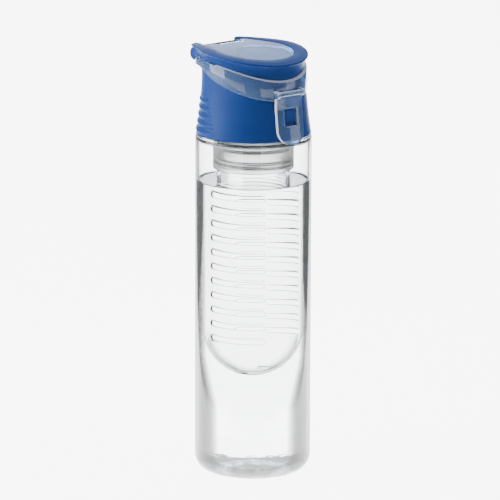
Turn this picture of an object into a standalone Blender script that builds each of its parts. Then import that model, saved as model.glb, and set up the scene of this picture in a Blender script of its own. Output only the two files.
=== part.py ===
"""Clear drinking bottle with a blue flip-lid screw cap and a fruit infuser.

Run with: blender --background --python part.py

Units are metres and +Z is up. The origin is the middle of the base, where the bottle stands.
The clip and the spout are at the front (-Y), and the lid's hinge is at the rear (+Y).
"""

from dataclasses import dataclass
from math import acos, asin, atan2, cos, pi, radians, sin, sqrt, tau

import bmesh
import bpy
from mathutils import Matrix, Vector

# Fineness of the round pieces.
SEGMENTS = 48
RING_SEGMENTS = 36
SMALL_SEGMENTS = 24
PIN_SEGMENTS = 16
ARC_STEPS = 5

# Clearances.
GAP = 0.0003
FIT_GAP = 0.0005
PIN_GAP = 0.00025
OVERRUN = 0.004
MERGE = 0.000001
WELD = 0.00002

# Bottle body.
BODY_RADIUS = 0.035
BODY_WALL = 0.0016
SHOULDER_HEIGHT = 0.2074
SHOULDER_ROUND = 0.002
BASE_ROUND = 0.010
BASE_WALL = 0.0024
FOOT_WIDTH = 0.007
PUNT_HEIGHT = 0.0055

# Neck and its thread.
NECK_WALL = 0.002
NECK_LENGTH = 0.0181
NECK_PITCH = 0.004
NECK_RIDGE = 0.0011
NECK_RIDGE_RISE = 0.0056
NECK_RIDGE_TURNS = 1.0
HELIX_LEAD_SHARE = 0.3
THREAD_DEPTH_GAP = 0.0018

# Neck seal.
SEAL_THICKNESS = 0.0015
SEAL_INSET = 0.0001

# Cap: its wall flares towards the bottom edge.
CAP_GAP = 0.001
CAP_SETBACK = 0.0003
CAP_FLARE = 0.0035
CAP_FLARE_HEIGHT = 0.0336
CAP_RISE_SHARES = 0.03, 0.09, 0.27, 0.485, 0.63, 0.777, 1.0
CAP_INSET_SHARES = 0.0, 0.11, 0.37, 0.60, 0.74, 0.91, 1.0
CAP_EDGE_ROUND = 0.0004
CAP_RIM_WALL = 0.0022
CAP_BORE_STEP = 0.0004
DECK_THICKNESS = 0.002
BOWL_ROUND = 0.0025
CAP_RIDGE_TURNS = 0.75
BOSS_WALL = 0.0016
BOSS_END_GAP = 0.0029

# Seam between the cap and the lid, seen from the side: a slope that eases into a level rear.
SEAM_RISE = 0.0361
SEAM_SLOPE_SHARE = 0.38
SEAM_EASE_START = 0.006
SEAM_EASE_LENGTH = 0.012
SEAM_EASE_STEPS = 5

# Grip ribs round the rear of the cap.
RIB_COUNT = 5
RIB_FIRST = 0.0026
RIB_PITCH = 0.0044
RIB_SIZE = 0.0008
RIB_PROUD = 0.0005
RIB_LOW_REACH = radians(98)
RIB_HIGH_REACH = radians(84)
RIB_POINTS = 20

# Spout.
SPOUT_RADIUS = 0.0107
SPOUT_FOOT_FLARE = 0.0009
SPOUT_WALL = 0.0023
SPOUT_EDGE = 0.0006

# Vent valve in the bowl floor.
VENT_OFFSET = 0.0125
VENT_STEM_RADIUS = 0.0016
VENT_HEAD_RADIUS = 0.0030
VENT_HEAD_THICKNESS = 0.0012
VENT_BULB_RADIUS = 0.0027
VENT_BULB_LENGTH = 0.0016

# Catch for the clip, on the cap's front.
CATCH_SIDE = 0.0086
CATCH_HEIGHT = 0.0148
CATCH_PROUD = 0.0013
CATCH_CHAMFER = 0.0014

# Lid hinge.
HINGE_DROP = 0.0064
LOBE_RADIUS = 0.0042
LOBE_WIDTH = 0.0038
LOBE_INSET = 0.0002
KNUCKLE_RADIUS = 0.0030
WEB_NARROWING = 0.0016
HINGE_PIN_RADIUS = 0.0010
HINGE_PIN_COVER = 0.0009

# Flip lid: its plan is a circle that runs out in straight sides to a straight rear edge.
LID_OVERHANG = 0.0014
LID_REAR_OVERHANG = 0.0025
LID_REAR_WIDTH_SHARE = 0.598
LID_RISE = 0.0159
LID_CREST_OFFSET = 0.020
LID_CROWN_RADIUS = 0.250
LID_ARM_WIDTH = 0.0055
TRIM_FLANGE_WIDTH = 0.0084
TRIM_FLANGE = 0.0026
TRIM_EDGE = 0.0013
TRIM_WALL = 0.0017
TRIM_DRAFT = 0.0023
TRIM_HEIGHT = 0.0064
TRIM_FRONT_EXTRA = 0.0050
TRIM_REAR_EXTRA = 0.0012
WINDOW_SUNK = 0.0005
WINDOW_PLATE = 0.0018
SHELL_WALL = 0.0018
BAND_INSET = 0.0008
BAND_FLARE = 0.0004
BAND_WALL = 0.0020
BAND_LEDGE = 0.0018
BAND_HINGE_GAP = 0.0049
LID_ARC_STATIONS = 12
LID_SIDE_STATIONS = 4
LID_RING_SHARES = 0.35, 0.7

# Plug under the window.
PLUG_BRIM = 0.0046
PLUG_THICKNESS = 0.0012
PLUG_PAD_OVERHANG = 0.0009
PLUG_PAD_LENGTH = 0.0018
PLUG_STOPPER_LENGTH = 0.0030
PLUG_STOPPER_GAP = 0.0008
HOLDER_WALL = 0.0014
HOLDER_DEPTH = 0.0019
HOLDER_FRONT_GAP = 0.0005

# Clip and its pin.
CLIP_THICKNESS = 0.0020
CLIP_STANDOFF = 0.0004
CLIP_HALF_WIDTH = 0.0098
CLIP_TIP_DROP = 0.0018
CLIP_TIP_ROUND = 0.0085
CLIP_HOLE_SIDE_PLAY = 0.0007
CLIP_HOLE_LOW_PLAY = 0.0012
CLIP_HOLE_HIGH_PLAY = 0.0006
CLIP_PIN_RISE = 0.0050
CLIP_BARREL_RADIUS = 0.00155
CLIP_PIN_RADIUS = 0.0006
CLIP_SHOULDER_DROP = 0.0026
EAR_RADIUS = 0.0020
EAR_THICKNESS = 0.0018

# Infuser: collar, basket and their thread.
COLLAR_NECK_GAP = 0.0026
COLLAR_WALL = 0.0017
COLLAR_DROP = 0.0199
COLLAR_LEDGE_DROP = 0.0063
COLLAR_LEDGE = 0.0020
COLLAR_RIDGE_TURNS = 0.75
BASKET_THREAD_GAP = 0.0014
BASKET_STEP = 0.0010
BASKET_WALL = 0.0015
BASKET_NECK_ROOT = 0.0020
BASKET_PITCH = 0.0045
BASKET_RIDGE = 0.0009
BASKET_RIDGE_RISE = 0.0043
BASKET_RIDGE_TURNS = 1.0
BASKET_DEPTH = 0.1010
BASKET_TURN = radians(202.5)
SLOT_ROWS = 11
SLOT_COLUMNS = 2
SLOT_HEIGHT = 0.0031
SLOT_FIRST_DROP = 0.0131
SLOT_SPAN = radians(90)
SLOT_SPAN_SEGMENTS = 8
PLAIN_SEGMENTS = 10
DOME_DEPTH = 0.0257
DOME_ANGLE_SHARES = 0.27, 0.50, 0.68, 0.78, 0.89
DOME_SLOT_ROW = 3
DOME_SLOT_SEGMENTS = 5

# Cap and neck sizes that follow from the body.
NECK_TOP = SHOULDER_HEIGHT + NECK_LENGTH
CAP_BOTTOM = SHOULDER_HEIGHT + CAP_GAP
CAP_BOTTOM_RADIUS = BODY_RADIUS - CAP_SETBACK
CAP_RIM_RADIUS = CAP_BOTTOM_RADIUS - CAP_FLARE
CAP_BORE = CAP_RIM_RADIUS - CAP_BORE_STEP
NECK_RADIUS = CAP_BORE - THREAD_DEPTH_GAP
DECK_UNDERSIDE = NECK_TOP + GAP + SEAL_THICKNESS + GAP
DECK_TOP = DECK_UNDERSIDE + DECK_THICKNESS
SEAM_MIDDLE = CAP_BOTTOM + SEAM_RISE

# Lid sizes that follow from the cap. The hinge stands out behind as far as the clip does in front.
LID_CREST = SEAM_MIDDLE + LID_RISE
LID_RADIUS = CAP_RIM_RADIUS + LID_OVERHANG
LID_WALL_RADIUS = LID_RADIUS - TRIM_DRAFT - TRIM_WALL - GAP
BAND_RADIUS = LID_RADIUS - BAND_INSET
BAND_LOW_RADIUS = BAND_RADIUS + BAND_FLARE
HINGE_Y = CAP_BOTTOM_RADIUS + CLIP_STANDOFF + CLIP_THICKNESS - LOBE_RADIUS
HINGE_Z = LID_CREST - HINGE_DROP
LID_REAR = HINGE_Y + LID_REAR_OVERHANG
WINDOW_RADIUS = LID_RADIUS - TRIM_FLANGE_WIDTH
LID_REAR_HALF_WIDTH = LID_RADIUS * LID_REAR_WIDTH_SHARE
WINDOW_REAR_HALF_WIDTH = LID_REAR_HALF_WIDTH - LID_ARM_WIDTH
WINDOW_DEPTH = TRIM_FLANGE + GAP + WINDOW_PLATE
LOBE_OUTER = LID_REAR_HALF_WIDTH - LOBE_INSET
LOBE_INNER = LOBE_OUTER - LOBE_WIDTH
KNUCKLE_HALF_LENGTH = LOBE_INNER - GAP

# Spout and plug sizes: the plug's holder stands against the front of the lid's inner wall.
SPOUT_BORE = SPOUT_RADIUS - SPOUT_WALL
PLUG_RADIUS = SPOUT_RADIUS + PLUG_BRIM
HOLDER_INNER = PLUG_RADIUS + GAP
HOLDER_OUTER = HOLDER_INNER + HOLDER_WALL
SPOUT_OFFSET = LID_WALL_RADIUS - SHELL_WALL - HOLDER_OUTER - HOLDER_FRONT_GAP

# Clip sizes that follow from the band and the catch.
EAR_INNER = CLIP_HALF_WIDTH + GAP - EAR_THICKNESS
CLIP_PIN_HALF_LENGTH = EAR_INNER + EAR_THICKNESS * 2 / 3
CLIP_PIN_Y = -(BAND_LOW_RADIUS + CLIP_STANDOFF + CLIP_THICKNESS / 2)
CLIP_PIN_Z = SEAM_MIDDLE - SEAM_SLOPE_SHARE * BAND_LOW_RADIUS + CLIP_PIN_RISE
CATCH_LOW = CAP_BOTTOM + CATCH_HEIGHT - CATCH_SIDE / 2
CATCH_HIGH = CATCH_LOW + CATCH_SIDE

# Infuser sizes that follow from the neck.
COLLAR_RADIUS = NECK_RADIUS - NECK_WALL - COLLAR_NECK_GAP
COLLAR_BORE = COLLAR_RADIUS - COLLAR_WALL
COLLAR_TOP = DECK_UNDERSIDE - FIT_GAP
COLLAR_BOTTOM = SHOULDER_HEIGHT - COLLAR_DROP
LEDGE_UNDERSIDE = SHOULDER_HEIGHT - COLLAR_LEDGE_DROP
LEDGE_TOP = LEDGE_UNDERSIDE + COLLAR_LEDGE
BOSS_RADIUS = COLLAR_BORE - GAP
BOSS_BOTTOM = LEDGE_TOP + BOSS_END_GAP
BASKET_NECK_RADIUS = COLLAR_BORE - BASKET_THREAD_GAP
BASKET_RADIUS = BASKET_NECK_RADIUS + BASKET_STEP
BASKET_SHOULDER = COLLAR_BOTTOM - GAP
BASKET_TOP = LEDGE_UNDERSIDE - GAP - SEAL_THICKNESS - GAP
INFUSER_SEAL_INNER = BASKET_NECK_RADIUS - BASKET_WALL + SEAL_INSET
DOME_TOP = BASKET_SHOULDER - BASKET_DEPTH
SLOT_PITCH = (BASKET_DEPTH - SLOT_FIRST_DROP) / (SLOT_ROWS - 1)

# Places that pieces turn about.
STANDING = 0, 0, 0
LID_PIVOT = 0, HINGE_Y, HINGE_Z
CLIP_PIVOT = 0, CLIP_PIN_Y, CLIP_PIN_Z


@dataclass(frozen=True)
class Look:
    """Colour, roughness, metallic value and opacity of a piece."""

    colour: tuple
    roughness: float
    metallic: float = 0.0
    alpha: float = 1.0


CLEAR_BODY = Look((0.90, 0.93, 0.94), 0.05, alpha=0.3)
CLEAR_BASKET = Look((0.92, 0.94, 0.95), 0.08, alpha=0.35)
CLEAR_LID = Look((0.85, 0.90, 0.96), 0.08, alpha=0.35)
FROSTED = Look((0.86, 0.88, 0.88), 0.5, alpha=0.7)
BLUE = Look((0.028, 0.13, 0.42), 0.35)
SILICONE = Look((0.82, 0.83, 0.80), 0.55)
STEEL = Look((0.55, 0.55, 0.56), 0.3, metallic=1.0)


def reset_scene():
    """Empty the scene and make the two collections."""
    for item in list(bpy.data.objects):
        bpy.data.objects.remove(item, do_unlink=True)
    parts = bpy.data.collections.new("Infuser bottle")
    cutters = bpy.data.collections.new("Cutters")
    bpy.context.scene.collection.children.link(parts)
    bpy.context.scene.collection.children.link(cutters)
    return parts, cutters


PARTS, CUTTERS = reset_scene()


def material(name, look):
    """A Principled material for one piece."""
    made = bpy.data.materials.new(name)
    made.use_nodes = True
    made.diffuse_color = (*look.colour, look.alpha)
    shader = made.node_tree.nodes["Principled BSDF"]
    shader.inputs["Base Color"].default_value = (*look.colour, 1.0)
    shader.inputs["Roughness"].default_value = look.roughness
    shader.inputs["Metallic"].default_value = look.metallic
    shader.inputs["Alpha"].default_value = look.alpha
    return made


def add_object(name, mesh):
    """Link a mesh as a named object, hidden from renders until it is finished."""
    item = bpy.data.objects.new(name, mesh)
    CUTTERS.objects.link(item)
    item.hide_render = True
    item.display_type = "WIRE"
    return item


def finish(item, look, pivot=STANDING):
    """Move a finished piece to the parts collection, with its material and its origin on its joint."""
    tidy(item.data, WELD)
    item.data.transform(Matrix.Translation(-Vector(pivot)))
    item.location = pivot
    CUTTERS.objects.unlink(item)
    PARTS.objects.link(item)
    item.hide_render = False
    item.display_type = "TEXTURED"
    item.data.materials.clear()
    item.data.materials.append(material(item.name, look))
    item.data.shade_smooth()
    item.data.set_sharp_from_angle(angle=radians(35))
    return item


def frozen(item):
    """Replace an object's mesh by what its modifiers make of it."""
    bpy.context.view_layer.update()
    graph = bpy.context.evaluated_depsgraph_get()
    mesh = bpy.data.meshes.new_from_object(item.evaluated_get(graph))
    item.modifiers.clear()
    item.data = mesh
    return item


def lathe(name, profile, segments=SEGMENTS, half_step=False):
    """Turn a profile of (radius, height) points, given down the outer side, about Z.

    half_step turns the result by half a segment, so that it shares no plane with what it joins.
    """
    mesh = bpy.data.meshes.new(name)
    count = len(profile)
    edges = [(i, i + 1) for i in range(count - 1)]
    if profile[0][0] > 0 or profile[-1][0] > 0:
        edges.append((count - 1, 0))
    mesh.from_pydata([(r, 0, z) for r, z in profile], edges, [])
    item = add_object(name, mesh)
    screw = item.modifiers.new("Turn", "SCREW")
    screw.steps = screw.render_steps = segments
    screw.use_merge_vertices = True
    screw.merge_threshold = MERGE
    screw.use_normal_calculate = False
    frozen(item)
    if half_step:
        item.data.transform(Matrix.Rotation(tau / segments / 2, 4, "Z"))
    return item


def arc(centre, radius, start, end, steps=ARC_STEPS):
    """Points of a circular arc in the (radius, height) plane, both ends included."""
    return [
        (centre[0] + radius * cos(a), centre[1] + radius * sin(a))
        for a in (start + (end - start) * i / steps for i in range(steps + 1))
    ]


def tube(name, points, radius, resolution=1):
    """A round bar along a list of points, as a closed mesh."""
    curve = bpy.data.curves.new(name, "CURVE")
    curve.dimensions = "3D"
    curve.bevel_depth = radius
    curve.bevel_resolution = resolution
    curve.use_fill_caps = True
    spline = curve.splines.new("POLY")
    spline.points.add(len(points) - 1)
    for point, place in zip(spline.points, points):
        point.co = (*place, 1.0)
    return meshed(name, curve)


def outline_solid(name, points, half_depth, turn=None):
    """A flat outline in XY, extruded both ways along Z and then turned."""
    curve = bpy.data.curves.new(name, "CURVE")
    curve.dimensions = "2D"
    curve.fill_mode = "BOTH"
    curve.extrude = half_depth
    spline = curve.splines.new("POLY")
    spline.points.add(len(points) - 1)
    for point, place in zip(spline.points, points):
        point.co = (*place, 0.0, 1.0)
    spline.use_cyclic_u = True
    item = meshed(name, curve)
    if turn is not None:
        item.data.transform(turn)
    return item


def meshed(name, curve):
    """Turn a curve into a closed mesh object."""
    source = bpy.data.objects.new(name, curve)
    CUTTERS.objects.link(source)
    bpy.context.view_layer.update()
    graph = bpy.context.evaluated_depsgraph_get()
    mesh = bpy.data.meshes.new_from_object(source.evaluated_get(graph))
    bpy.data.objects.remove(source, do_unlink=True)
    tidy(mesh)
    return add_object(name, mesh)


def tidy(mesh, reach=MERGE):
    """Weld a mesh's doubled points and turn its faces outwards."""
    work = bmesh.new()
    work.from_mesh(mesh)
    bmesh.ops.remove_doubles(work, verts=work.verts, dist=reach)
    bmesh.ops.recalc_face_normals(work, faces=work.faces)
    work.to_mesh(mesh)
    work.free()


def loft(name, rings):
    """A closed body through rings of points; a ring of one point closes an end."""
    work = bmesh.new()
    made = [[work.verts.new(p) for p in ring] for ring in rings]
    for low, high in zip(made, made[1:]):
        count = max(len(low), len(high))
        for i in range(count):
            j = (i + 1) % count
            corners = []
            for ring, index in ((low, i), (low, j), (high, j), (high, i)):
                corner = ring[index % len(ring)]
                if corner not in corners:
                    corners.append(corner)
            work.faces.new(corners)
    for ring in (made[0], made[-1]):
        if len(ring) > 1:
            work.faces.new(ring)
    mesh = bpy.data.meshes.new(name)
    work.to_mesh(mesh)
    work.free()
    tidy(mesh)
    return add_object(name, mesh)


def boolean(item, other, operation):
    """Join or cut one object with another, at once, and drop the other."""
    step = item.modifiers.new(operation.title(), "BOOLEAN")
    step.operation = operation
    step.solver = "EXACT"
    step.object = other
    frozen(item)
    bpy.data.objects.remove(other, do_unlink=True)
    return item


def join(item, *others):
    """Unite an object with others."""
    for other in others:
        boolean(item, other, "UNION")
    return item


def cut(item, *others):
    """Take others away from an object."""
    for other in others:
        boolean(item, other, "DIFFERENCE")
    return item


def moved(item, x=0.0, y=0.0, z=0.0):
    """Shift a mesh object's points."""
    item.data.transform(Matrix.Translation(Vector((x, y, z))))
    return item


def bar_x(name, radius, start, end, y, z, segments=PIN_SEGMENTS, half_step=False):
    """A cylinder along X between two places, turned by half a segment where it must share no plane."""
    work = bmesh.new()
    bmesh.ops.create_cone(
        work, cap_ends=True, segments=segments, radius1=radius, radius2=radius, depth=end - start
    )
    turn = Matrix.Translation(((start + end) / 2, y, z)) @ Matrix.Rotation(pi / 2, 4, "Y")
    if half_step:
        turn = turn @ Matrix.Rotation(tau / segments / 2, 4, "Z")
    bmesh.ops.transform(work, matrix=turn, verts=work.verts)
    mesh = bpy.data.meshes.new(name)
    work.to_mesh(mesh)
    work.free()
    tidy(mesh)
    return add_object(name, mesh)


def box(name, low, high):
    """A box between two corners."""
    work = bmesh.new()
    bmesh.ops.create_cube(work, size=1.0)
    size = [b - a for a, b in zip(low, high)]
    middle = [(a + b) / 2 for a, b in zip(low, high)]
    turn = Matrix.Translation(middle) @ Matrix.Diagonal((*size, 1.0))
    bmesh.ops.transform(work, matrix=turn, verts=work.verts)
    mesh = bpy.data.meshes.new(name)
    work.to_mesh(mesh)
    work.free()
    tidy(mesh)
    return add_object(name, mesh)


def side_profile_solid(name, points, half_width):
    """An outline of (y, z) points, extruded along X both ways."""
    turn = Matrix(((0, 0, 1, 0), (1, 0, 0, 0), (0, 1, 0, 0), (0, 0, 0, 1)))
    return outline_solid(name, points, half_width, turn)


def helix(radius, start_height, pitch, turns, steps=RING_SEGMENTS):
    """Points of a right-hand helix about Z, which starts just past +X."""
    count = round(turns * steps)
    points = []
    for i in range(count + 1):
        angle = tau * (i + HELIX_LEAD_SHARE) / steps
        points.append((radius * cos(angle), radius * sin(angle), start_height + pitch * i / steps))
    return points


def cap_wall():
    """Points of the cap's outer wall as (radius, height), from the bottom edge up."""
    return [
        (CAP_BOTTOM_RADIUS - CAP_FLARE * inset, CAP_BOTTOM + CAP_FLARE_HEIGHT * rise)
        for rise, inset in zip(CAP_RISE_SHARES, CAP_INSET_SHARES)
    ]


def cap_radius(height):
    """Radius of the cap's outer wall at a height above the ground."""
    wall = cap_wall()
    if height <= wall[0][1]:
        return CAP_BOTTOM_RADIUS
    for (radius_low, low), (radius_high, high) in zip(wall, wall[1:]):
        if height <= high:
            return radius_low + (radius_high - radius_low) * (height - low) / (high - low)
    return CAP_RIM_RADIUS


def seam_height(y):
    """Height of the seam between cap and lid at a place along Y."""
    if y <= SEAM_EASE_START:
        return SEAM_MIDDLE + SEAM_SLOPE_SHARE * y
    run = min(y - SEAM_EASE_START, SEAM_EASE_LENGTH)
    eased = run - run * run / (2 * SEAM_EASE_LENGTH)
    return SEAM_MIDDLE + SEAM_SLOPE_SHARE * (SEAM_EASE_START + eased)


def lid_top(y):
    """Height of the lid's crowned top at a place along Y."""
    away = y - LID_CREST_OFFSET
    drop = LID_CROWN_RADIUS - sqrt(LID_CROWN_RADIUS**2 - away**2)
    return LID_CREST - drop


def trim_bottom(y):
    """Height of the lower edge of the blue trim, where the clear band starts."""
    extra = TRIM_FRONT_EXTRA if y < 0 else TRIM_REAR_EXTRA
    return lid_top(y) - TRIM_HEIGHT - extra * (y / LID_RADIUS) ** 2


def lid_half_outline(radius, rear, rear_half_width):
    """Points from the front middle round the +X side to the rear corner of a lid outline."""
    corner = Vector((rear_half_width, rear))
    reach = atan2(corner.x, corner.y) + acos(radius / corner.length)
    arc_points = [
        Vector((radius * sin(a), radius * cos(a)))
        for a in (pi - (pi - reach) * i / LID_ARC_STATIONS for i in range(LID_ARC_STATIONS + 1))
    ]
    last = arc_points[-1]
    side = [last.lerp(corner, i / LID_SIDE_STATIONS) for i in range(1, LID_SIDE_STATIONS + 1)]
    return arc_points + side


def lid_outline(radius):
    """A whole lid outline, scaled from the lid's plan to a given front radius."""
    scale = radius / LID_RADIUS
    half = lid_half_outline(radius, LID_REAR * scale, LID_REAR_HALF_WIDTH * scale)
    return half + [Vector((-p.x, p.y)) for p in reversed(half[1:])]


def window_outline(shrink):
    """The window's whole outline, drawn in by a clearance."""
    half = lid_half_outline(
        WINDOW_RADIUS - shrink, LID_REAR - shrink, WINDOW_REAR_HALF_WIDTH - shrink
    )
    return half + [Vector((-p.x, p.y)) for p in reversed(half[1:])]


def ring_at(outline, height):
    """Lift a plan outline to a height that is a rule of Y."""
    return [(p.x, p.y, height(p.y)) for p in outline]


def crowned_face(outline, height):
    """Rings from the middle out to an outline, so that a face follows the lid's crown."""
    rings = [[(0, 0, height(0))]]
    for share in LID_RING_SHARES:
        rings.append(ring_at([p * share for p in outline], height))
    rings.append(ring_at(outline, height))
    return rings


def plug_slope():
    """Tilt of the lid's underside at the spout."""
    return (LID_CREST_OFFSET + SPOUT_OFFSET) / LID_CROWN_RADIUS


def plug_seat():
    """Height above the spout's middle of the flat that rests under the crowned plate."""
    sag = PLUG_RADIUS**2 / (2 * LID_CROWN_RADIUS)
    return lid_top(-SPOUT_OFFSET) - WINDOW_DEPTH - sag


def spout_top():
    """Height of the spout's mouth, which the plug's pad closes."""
    return plug_seat() - PLUG_THICKNESS - PLUG_PAD_LENGTH - GAP


def make_body():
    """The clear bottle with its domed base, shoulder, neck and thread."""
    inner = BODY_RADIUS - BODY_WALL
    neck_inner = NECK_RADIUS - NECK_WALL
    foot_outer = BODY_RADIUS - BASE_ROUND
    foot_inner = foot_outer - FOOT_WIDTH
    inner_round = BASE_ROUND - BODY_WALL
    punt = (foot_inner**2 + PUNT_HEIGHT**2) / (2 * PUNT_HEIGHT)
    reach = atan2(foot_inner, punt - PUNT_HEIGHT)
    centre = PUNT_HEIGHT - punt
    outer = [(NECK_RADIUS, NECK_TOP), (NECK_RADIUS, SHOULDER_HEIGHT)]
    outer += arc(
        (BODY_RADIUS - SHOULDER_ROUND, SHOULDER_HEIGHT - SHOULDER_ROUND), SHOULDER_ROUND, pi / 2, 0, 3
    )
    outer += arc((foot_outer, BASE_ROUND), BASE_ROUND, 0, -pi / 2)
    outer += [(punt * sin(a), centre + punt * cos(a)) for a in (reach, reach / 2, 0)]
    lifted = centre + BASE_WALL
    inside = [(punt * sin(a), lifted + punt * cos(a)) for a in (0, reach / 2, reach)]
    inside += arc((inner - inner_round, BASE_WALL + inner_round), inner_round, -pi / 2, 0)
    inside += [
        (inner, SHOULDER_HEIGHT - SHOULDER_ROUND - BODY_WALL),
        (inner - SHOULDER_ROUND, SHOULDER_HEIGHT - BODY_WALL),
        (neck_inner, SHOULDER_HEIGHT - BODY_WALL),
        (neck_inner, NECK_TOP),
    ]
    profile = outer + inside
    item = lathe("bottle_body", [p for i, p in enumerate(profile) if i == 0 or p != profile[i - 1]])
    ridge = tube(
        "neck_ridge",
        helix(NECK_RADIUS, SHOULDER_HEIGHT + NECK_RIDGE_RISE, NECK_PITCH, NECK_RIDGE_TURNS),
        NECK_RIDGE,
    )
    join(item, ridge)
    return finish(item, CLEAR_BODY)


def make_neck_seal():
    """The flat ring between the neck's top and the cap."""
    outer = NECK_RADIUS + SEAL_INSET
    inner = NECK_RADIUS - NECK_WALL - SEAL_INSET
    low = NECK_TOP + GAP
    high = low + SEAL_THICKNESS
    item = lathe("neck_seal", [(outer, high), (outer, low), (inner, low), (inner, high)], RING_SEGMENTS)
    return finish(item, SILICONE)


def make_cap():
    """The blue screw cap: flared wall, deck, boss, bowl, spout, catch, ribs and hinge knuckle."""
    top = HINGE_Z
    outer = [(CAP_RIM_RADIUS, top), *reversed(cap_wall()), (CAP_BOTTOM_RADIUS - CAP_EDGE_ROUND, CAP_BOTTOM)]
    under = [
        (CAP_BORE, CAP_BOTTOM),
        (CAP_BORE, DECK_UNDERSIDE),
        (BOSS_RADIUS, DECK_UNDERSIDE),
        (BOSS_RADIUS, BOSS_BOTTOM),
        (BOSS_RADIUS - BOSS_WALL, BOSS_BOTTOM),
        (BOSS_RADIUS - BOSS_WALL, DECK_UNDERSIDE),
        (0, DECK_UNDERSIDE),
        (0, DECK_TOP),
    ]
    bowl = CAP_RIM_RADIUS - CAP_RIM_WALL
    above = arc((bowl - BOWL_ROUND, DECK_TOP + BOWL_ROUND), BOWL_ROUND, -pi / 2, 0, 3)
    item = lathe("cap_base", outer + under + above + [(bowl, top)])
    cut(item, seam_cutter(top + OVERRUN))
    join(item, *cap_ribs(), make_cap_thread(), make_catch(), *make_hinge_block())
    spout_hole = deck_hole("spout_hole", SPOUT_BORE + SPOUT_WALL / 2, SMALL_SEGMENTS)
    vent_hole = deck_hole("vent_hole", VENT_STEM_RADIUS + GAP, PIN_SEGMENTS)
    cut(item, moved(spout_hole, y=-SPOUT_OFFSET), moved(vent_hole, y=VENT_OFFSET))
    join(item, make_spout())
    pin_hole = bar_x(
        "pin_hole", HINGE_PIN_RADIUS + PIN_GAP, -KNUCKLE_HALF_LENGTH - OVERRUN,
        KNUCKLE_HALF_LENGTH + OVERRUN, HINGE_Y, HINGE_Z,
    )
    cut(item, pin_hole)
    return finish(item, BLUE)


def seam_cutter(roof):
    """What lies above the cap's rim: the rim follows the seam."""
    reach = CAP_BOTTOM_RADIUS + OVERRUN
    eased = [SEAM_EASE_START + SEAM_EASE_LENGTH * i / SEAM_EASE_STEPS for i in range(SEAM_EASE_STEPS + 1)]
    points = [(y, seam_height(y) - GAP) for y in (-reach, *eased, reach)]
    return side_profile_solid("seam_cutter", points + [(reach, roof), (-reach, roof)], reach)


def deck_hole(name, radius, segments):
    """A cutter for a round hole through the deck."""
    high = DECK_TOP + OVERRUN
    low = DECK_UNDERSIDE - OVERRUN
    return lathe(name, [(0, high), (radius, high), (radius, low), (0, low)], segments, half_step=True)


def cap_ribs():
    """Grip ribs round the rear half of the cap, shorter towards the top."""
    ribs = []
    for row in range(RIB_COUNT):
        height = CAP_BOTTOM + RIB_FIRST + RIB_PITCH * row
        reach = RIB_LOW_REACH + (RIB_HIGH_REACH - RIB_LOW_REACH) * row / (RIB_COUNT - 1)
        radius = cap_radius(height) + RIB_PROUD - RIB_SIZE
        angles = [pi / 2 - reach + 2 * reach * i / RIB_POINTS for i in range(RIB_POINTS + 1)]
        points = [(radius * cos(a), radius * sin(a), height) for a in angles]
        ribs.append(tube("rib", points, RIB_SIZE, resolution=0))
    return ribs


def make_cap_thread():
    """The ridge inside the cap, half a pitch below the neck's."""
    start = SHOULDER_HEIGHT + NECK_RIDGE_RISE - NECK_PITCH / 2
    return tube("cap_ridge", helix(CAP_BORE, start, NECK_PITCH, CAP_RIDGE_TURNS), NECK_RIDGE)


def make_catch():
    """The square catch on the cap's front, with its underside chamfered."""
    wall = -cap_radius(CAP_BOTTOM + CATCH_HEIGHT)
    root = wall + CAP_RIM_WALL / 2
    face = wall - CATCH_PROUD
    slope = [(wall, CATCH_LOW), (face, CATCH_LOW + CATCH_CHAMFER)]
    points = [(root, CATCH_LOW), *slope, (face, CATCH_HIGH), (root, CATCH_HIGH)]
    return side_profile_solid("catch", points, CATCH_SIDE / 2)


def make_hinge_block():
    """The knuckle at the rear of the cap and the web that carries it."""
    knuckle = bar_x(
        "knuckle", KNUCKLE_RADIUS, -KNUCKLE_HALF_LENGTH, KNUCKLE_HALF_LENGTH, HINGE_Y, HINGE_Z, SMALL_SEGMENTS
    )
    half = KNUCKLE_HALF_LENGTH - WEB_NARROWING
    wall_middle = CAP_RIM_RADIUS - CAP_RIM_WALL / 2
    front = sqrt(wall_middle**2 - half**2)
    inside = KNUCKLE_RADIUS * 2 / 3
    points = [
        (front, seam_height(LID_REAR) - KNUCKLE_RADIUS * 2),
        (wall_middle, seam_height(LID_REAR) - KNUCKLE_RADIUS * 2),
        (HINGE_Y + inside, HINGE_Z - inside),
        (HINGE_Y - inside, HINGE_Z + inside),
        (front, seam_height(LID_REAR) - GAP),
    ]
    return knuckle, side_profile_solid("web", points, half)


def make_spout():
    """The drinking spout: a tube that passes through the deck."""
    root = DECK_UNDERSIDE - SPOUT_EDGE
    top = spout_top()
    profile = [
        (SPOUT_BORE, top),
        (SPOUT_RADIUS - SPOUT_EDGE, top),
        (SPOUT_RADIUS, top - SPOUT_EDGE),
        (SPOUT_RADIUS + SPOUT_FOOT_FLARE, root),
        (SPOUT_BORE, root),
    ]
    return moved(lathe("spout", profile, SMALL_SEGMENTS, half_step=True), y=-SPOUT_OFFSET)


def make_vent_valve():
    """The small mushroom valve through the bowl floor."""
    seat = DECK_TOP + GAP
    under = DECK_UNDERSIDE - GAP
    profile = [
        (0, seat + VENT_HEAD_THICKNESS),
        (VENT_HEAD_RADIUS / 2, seat + VENT_HEAD_THICKNESS),
        (VENT_HEAD_RADIUS, seat + VENT_HEAD_THICKNESS / 2),
        (VENT_HEAD_RADIUS, seat),
        (VENT_STEM_RADIUS, seat),
        (VENT_STEM_RADIUS, under),
        (VENT_BULB_RADIUS, under),
        (VENT_STEM_RADIUS, under - VENT_BULB_LENGTH),
        (0, under - VENT_BULB_LENGTH),
    ]
    return finish(moved(lathe("vent_valve", profile, PIN_SEGMENTS), y=VENT_OFFSET), SILICONE)


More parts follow.
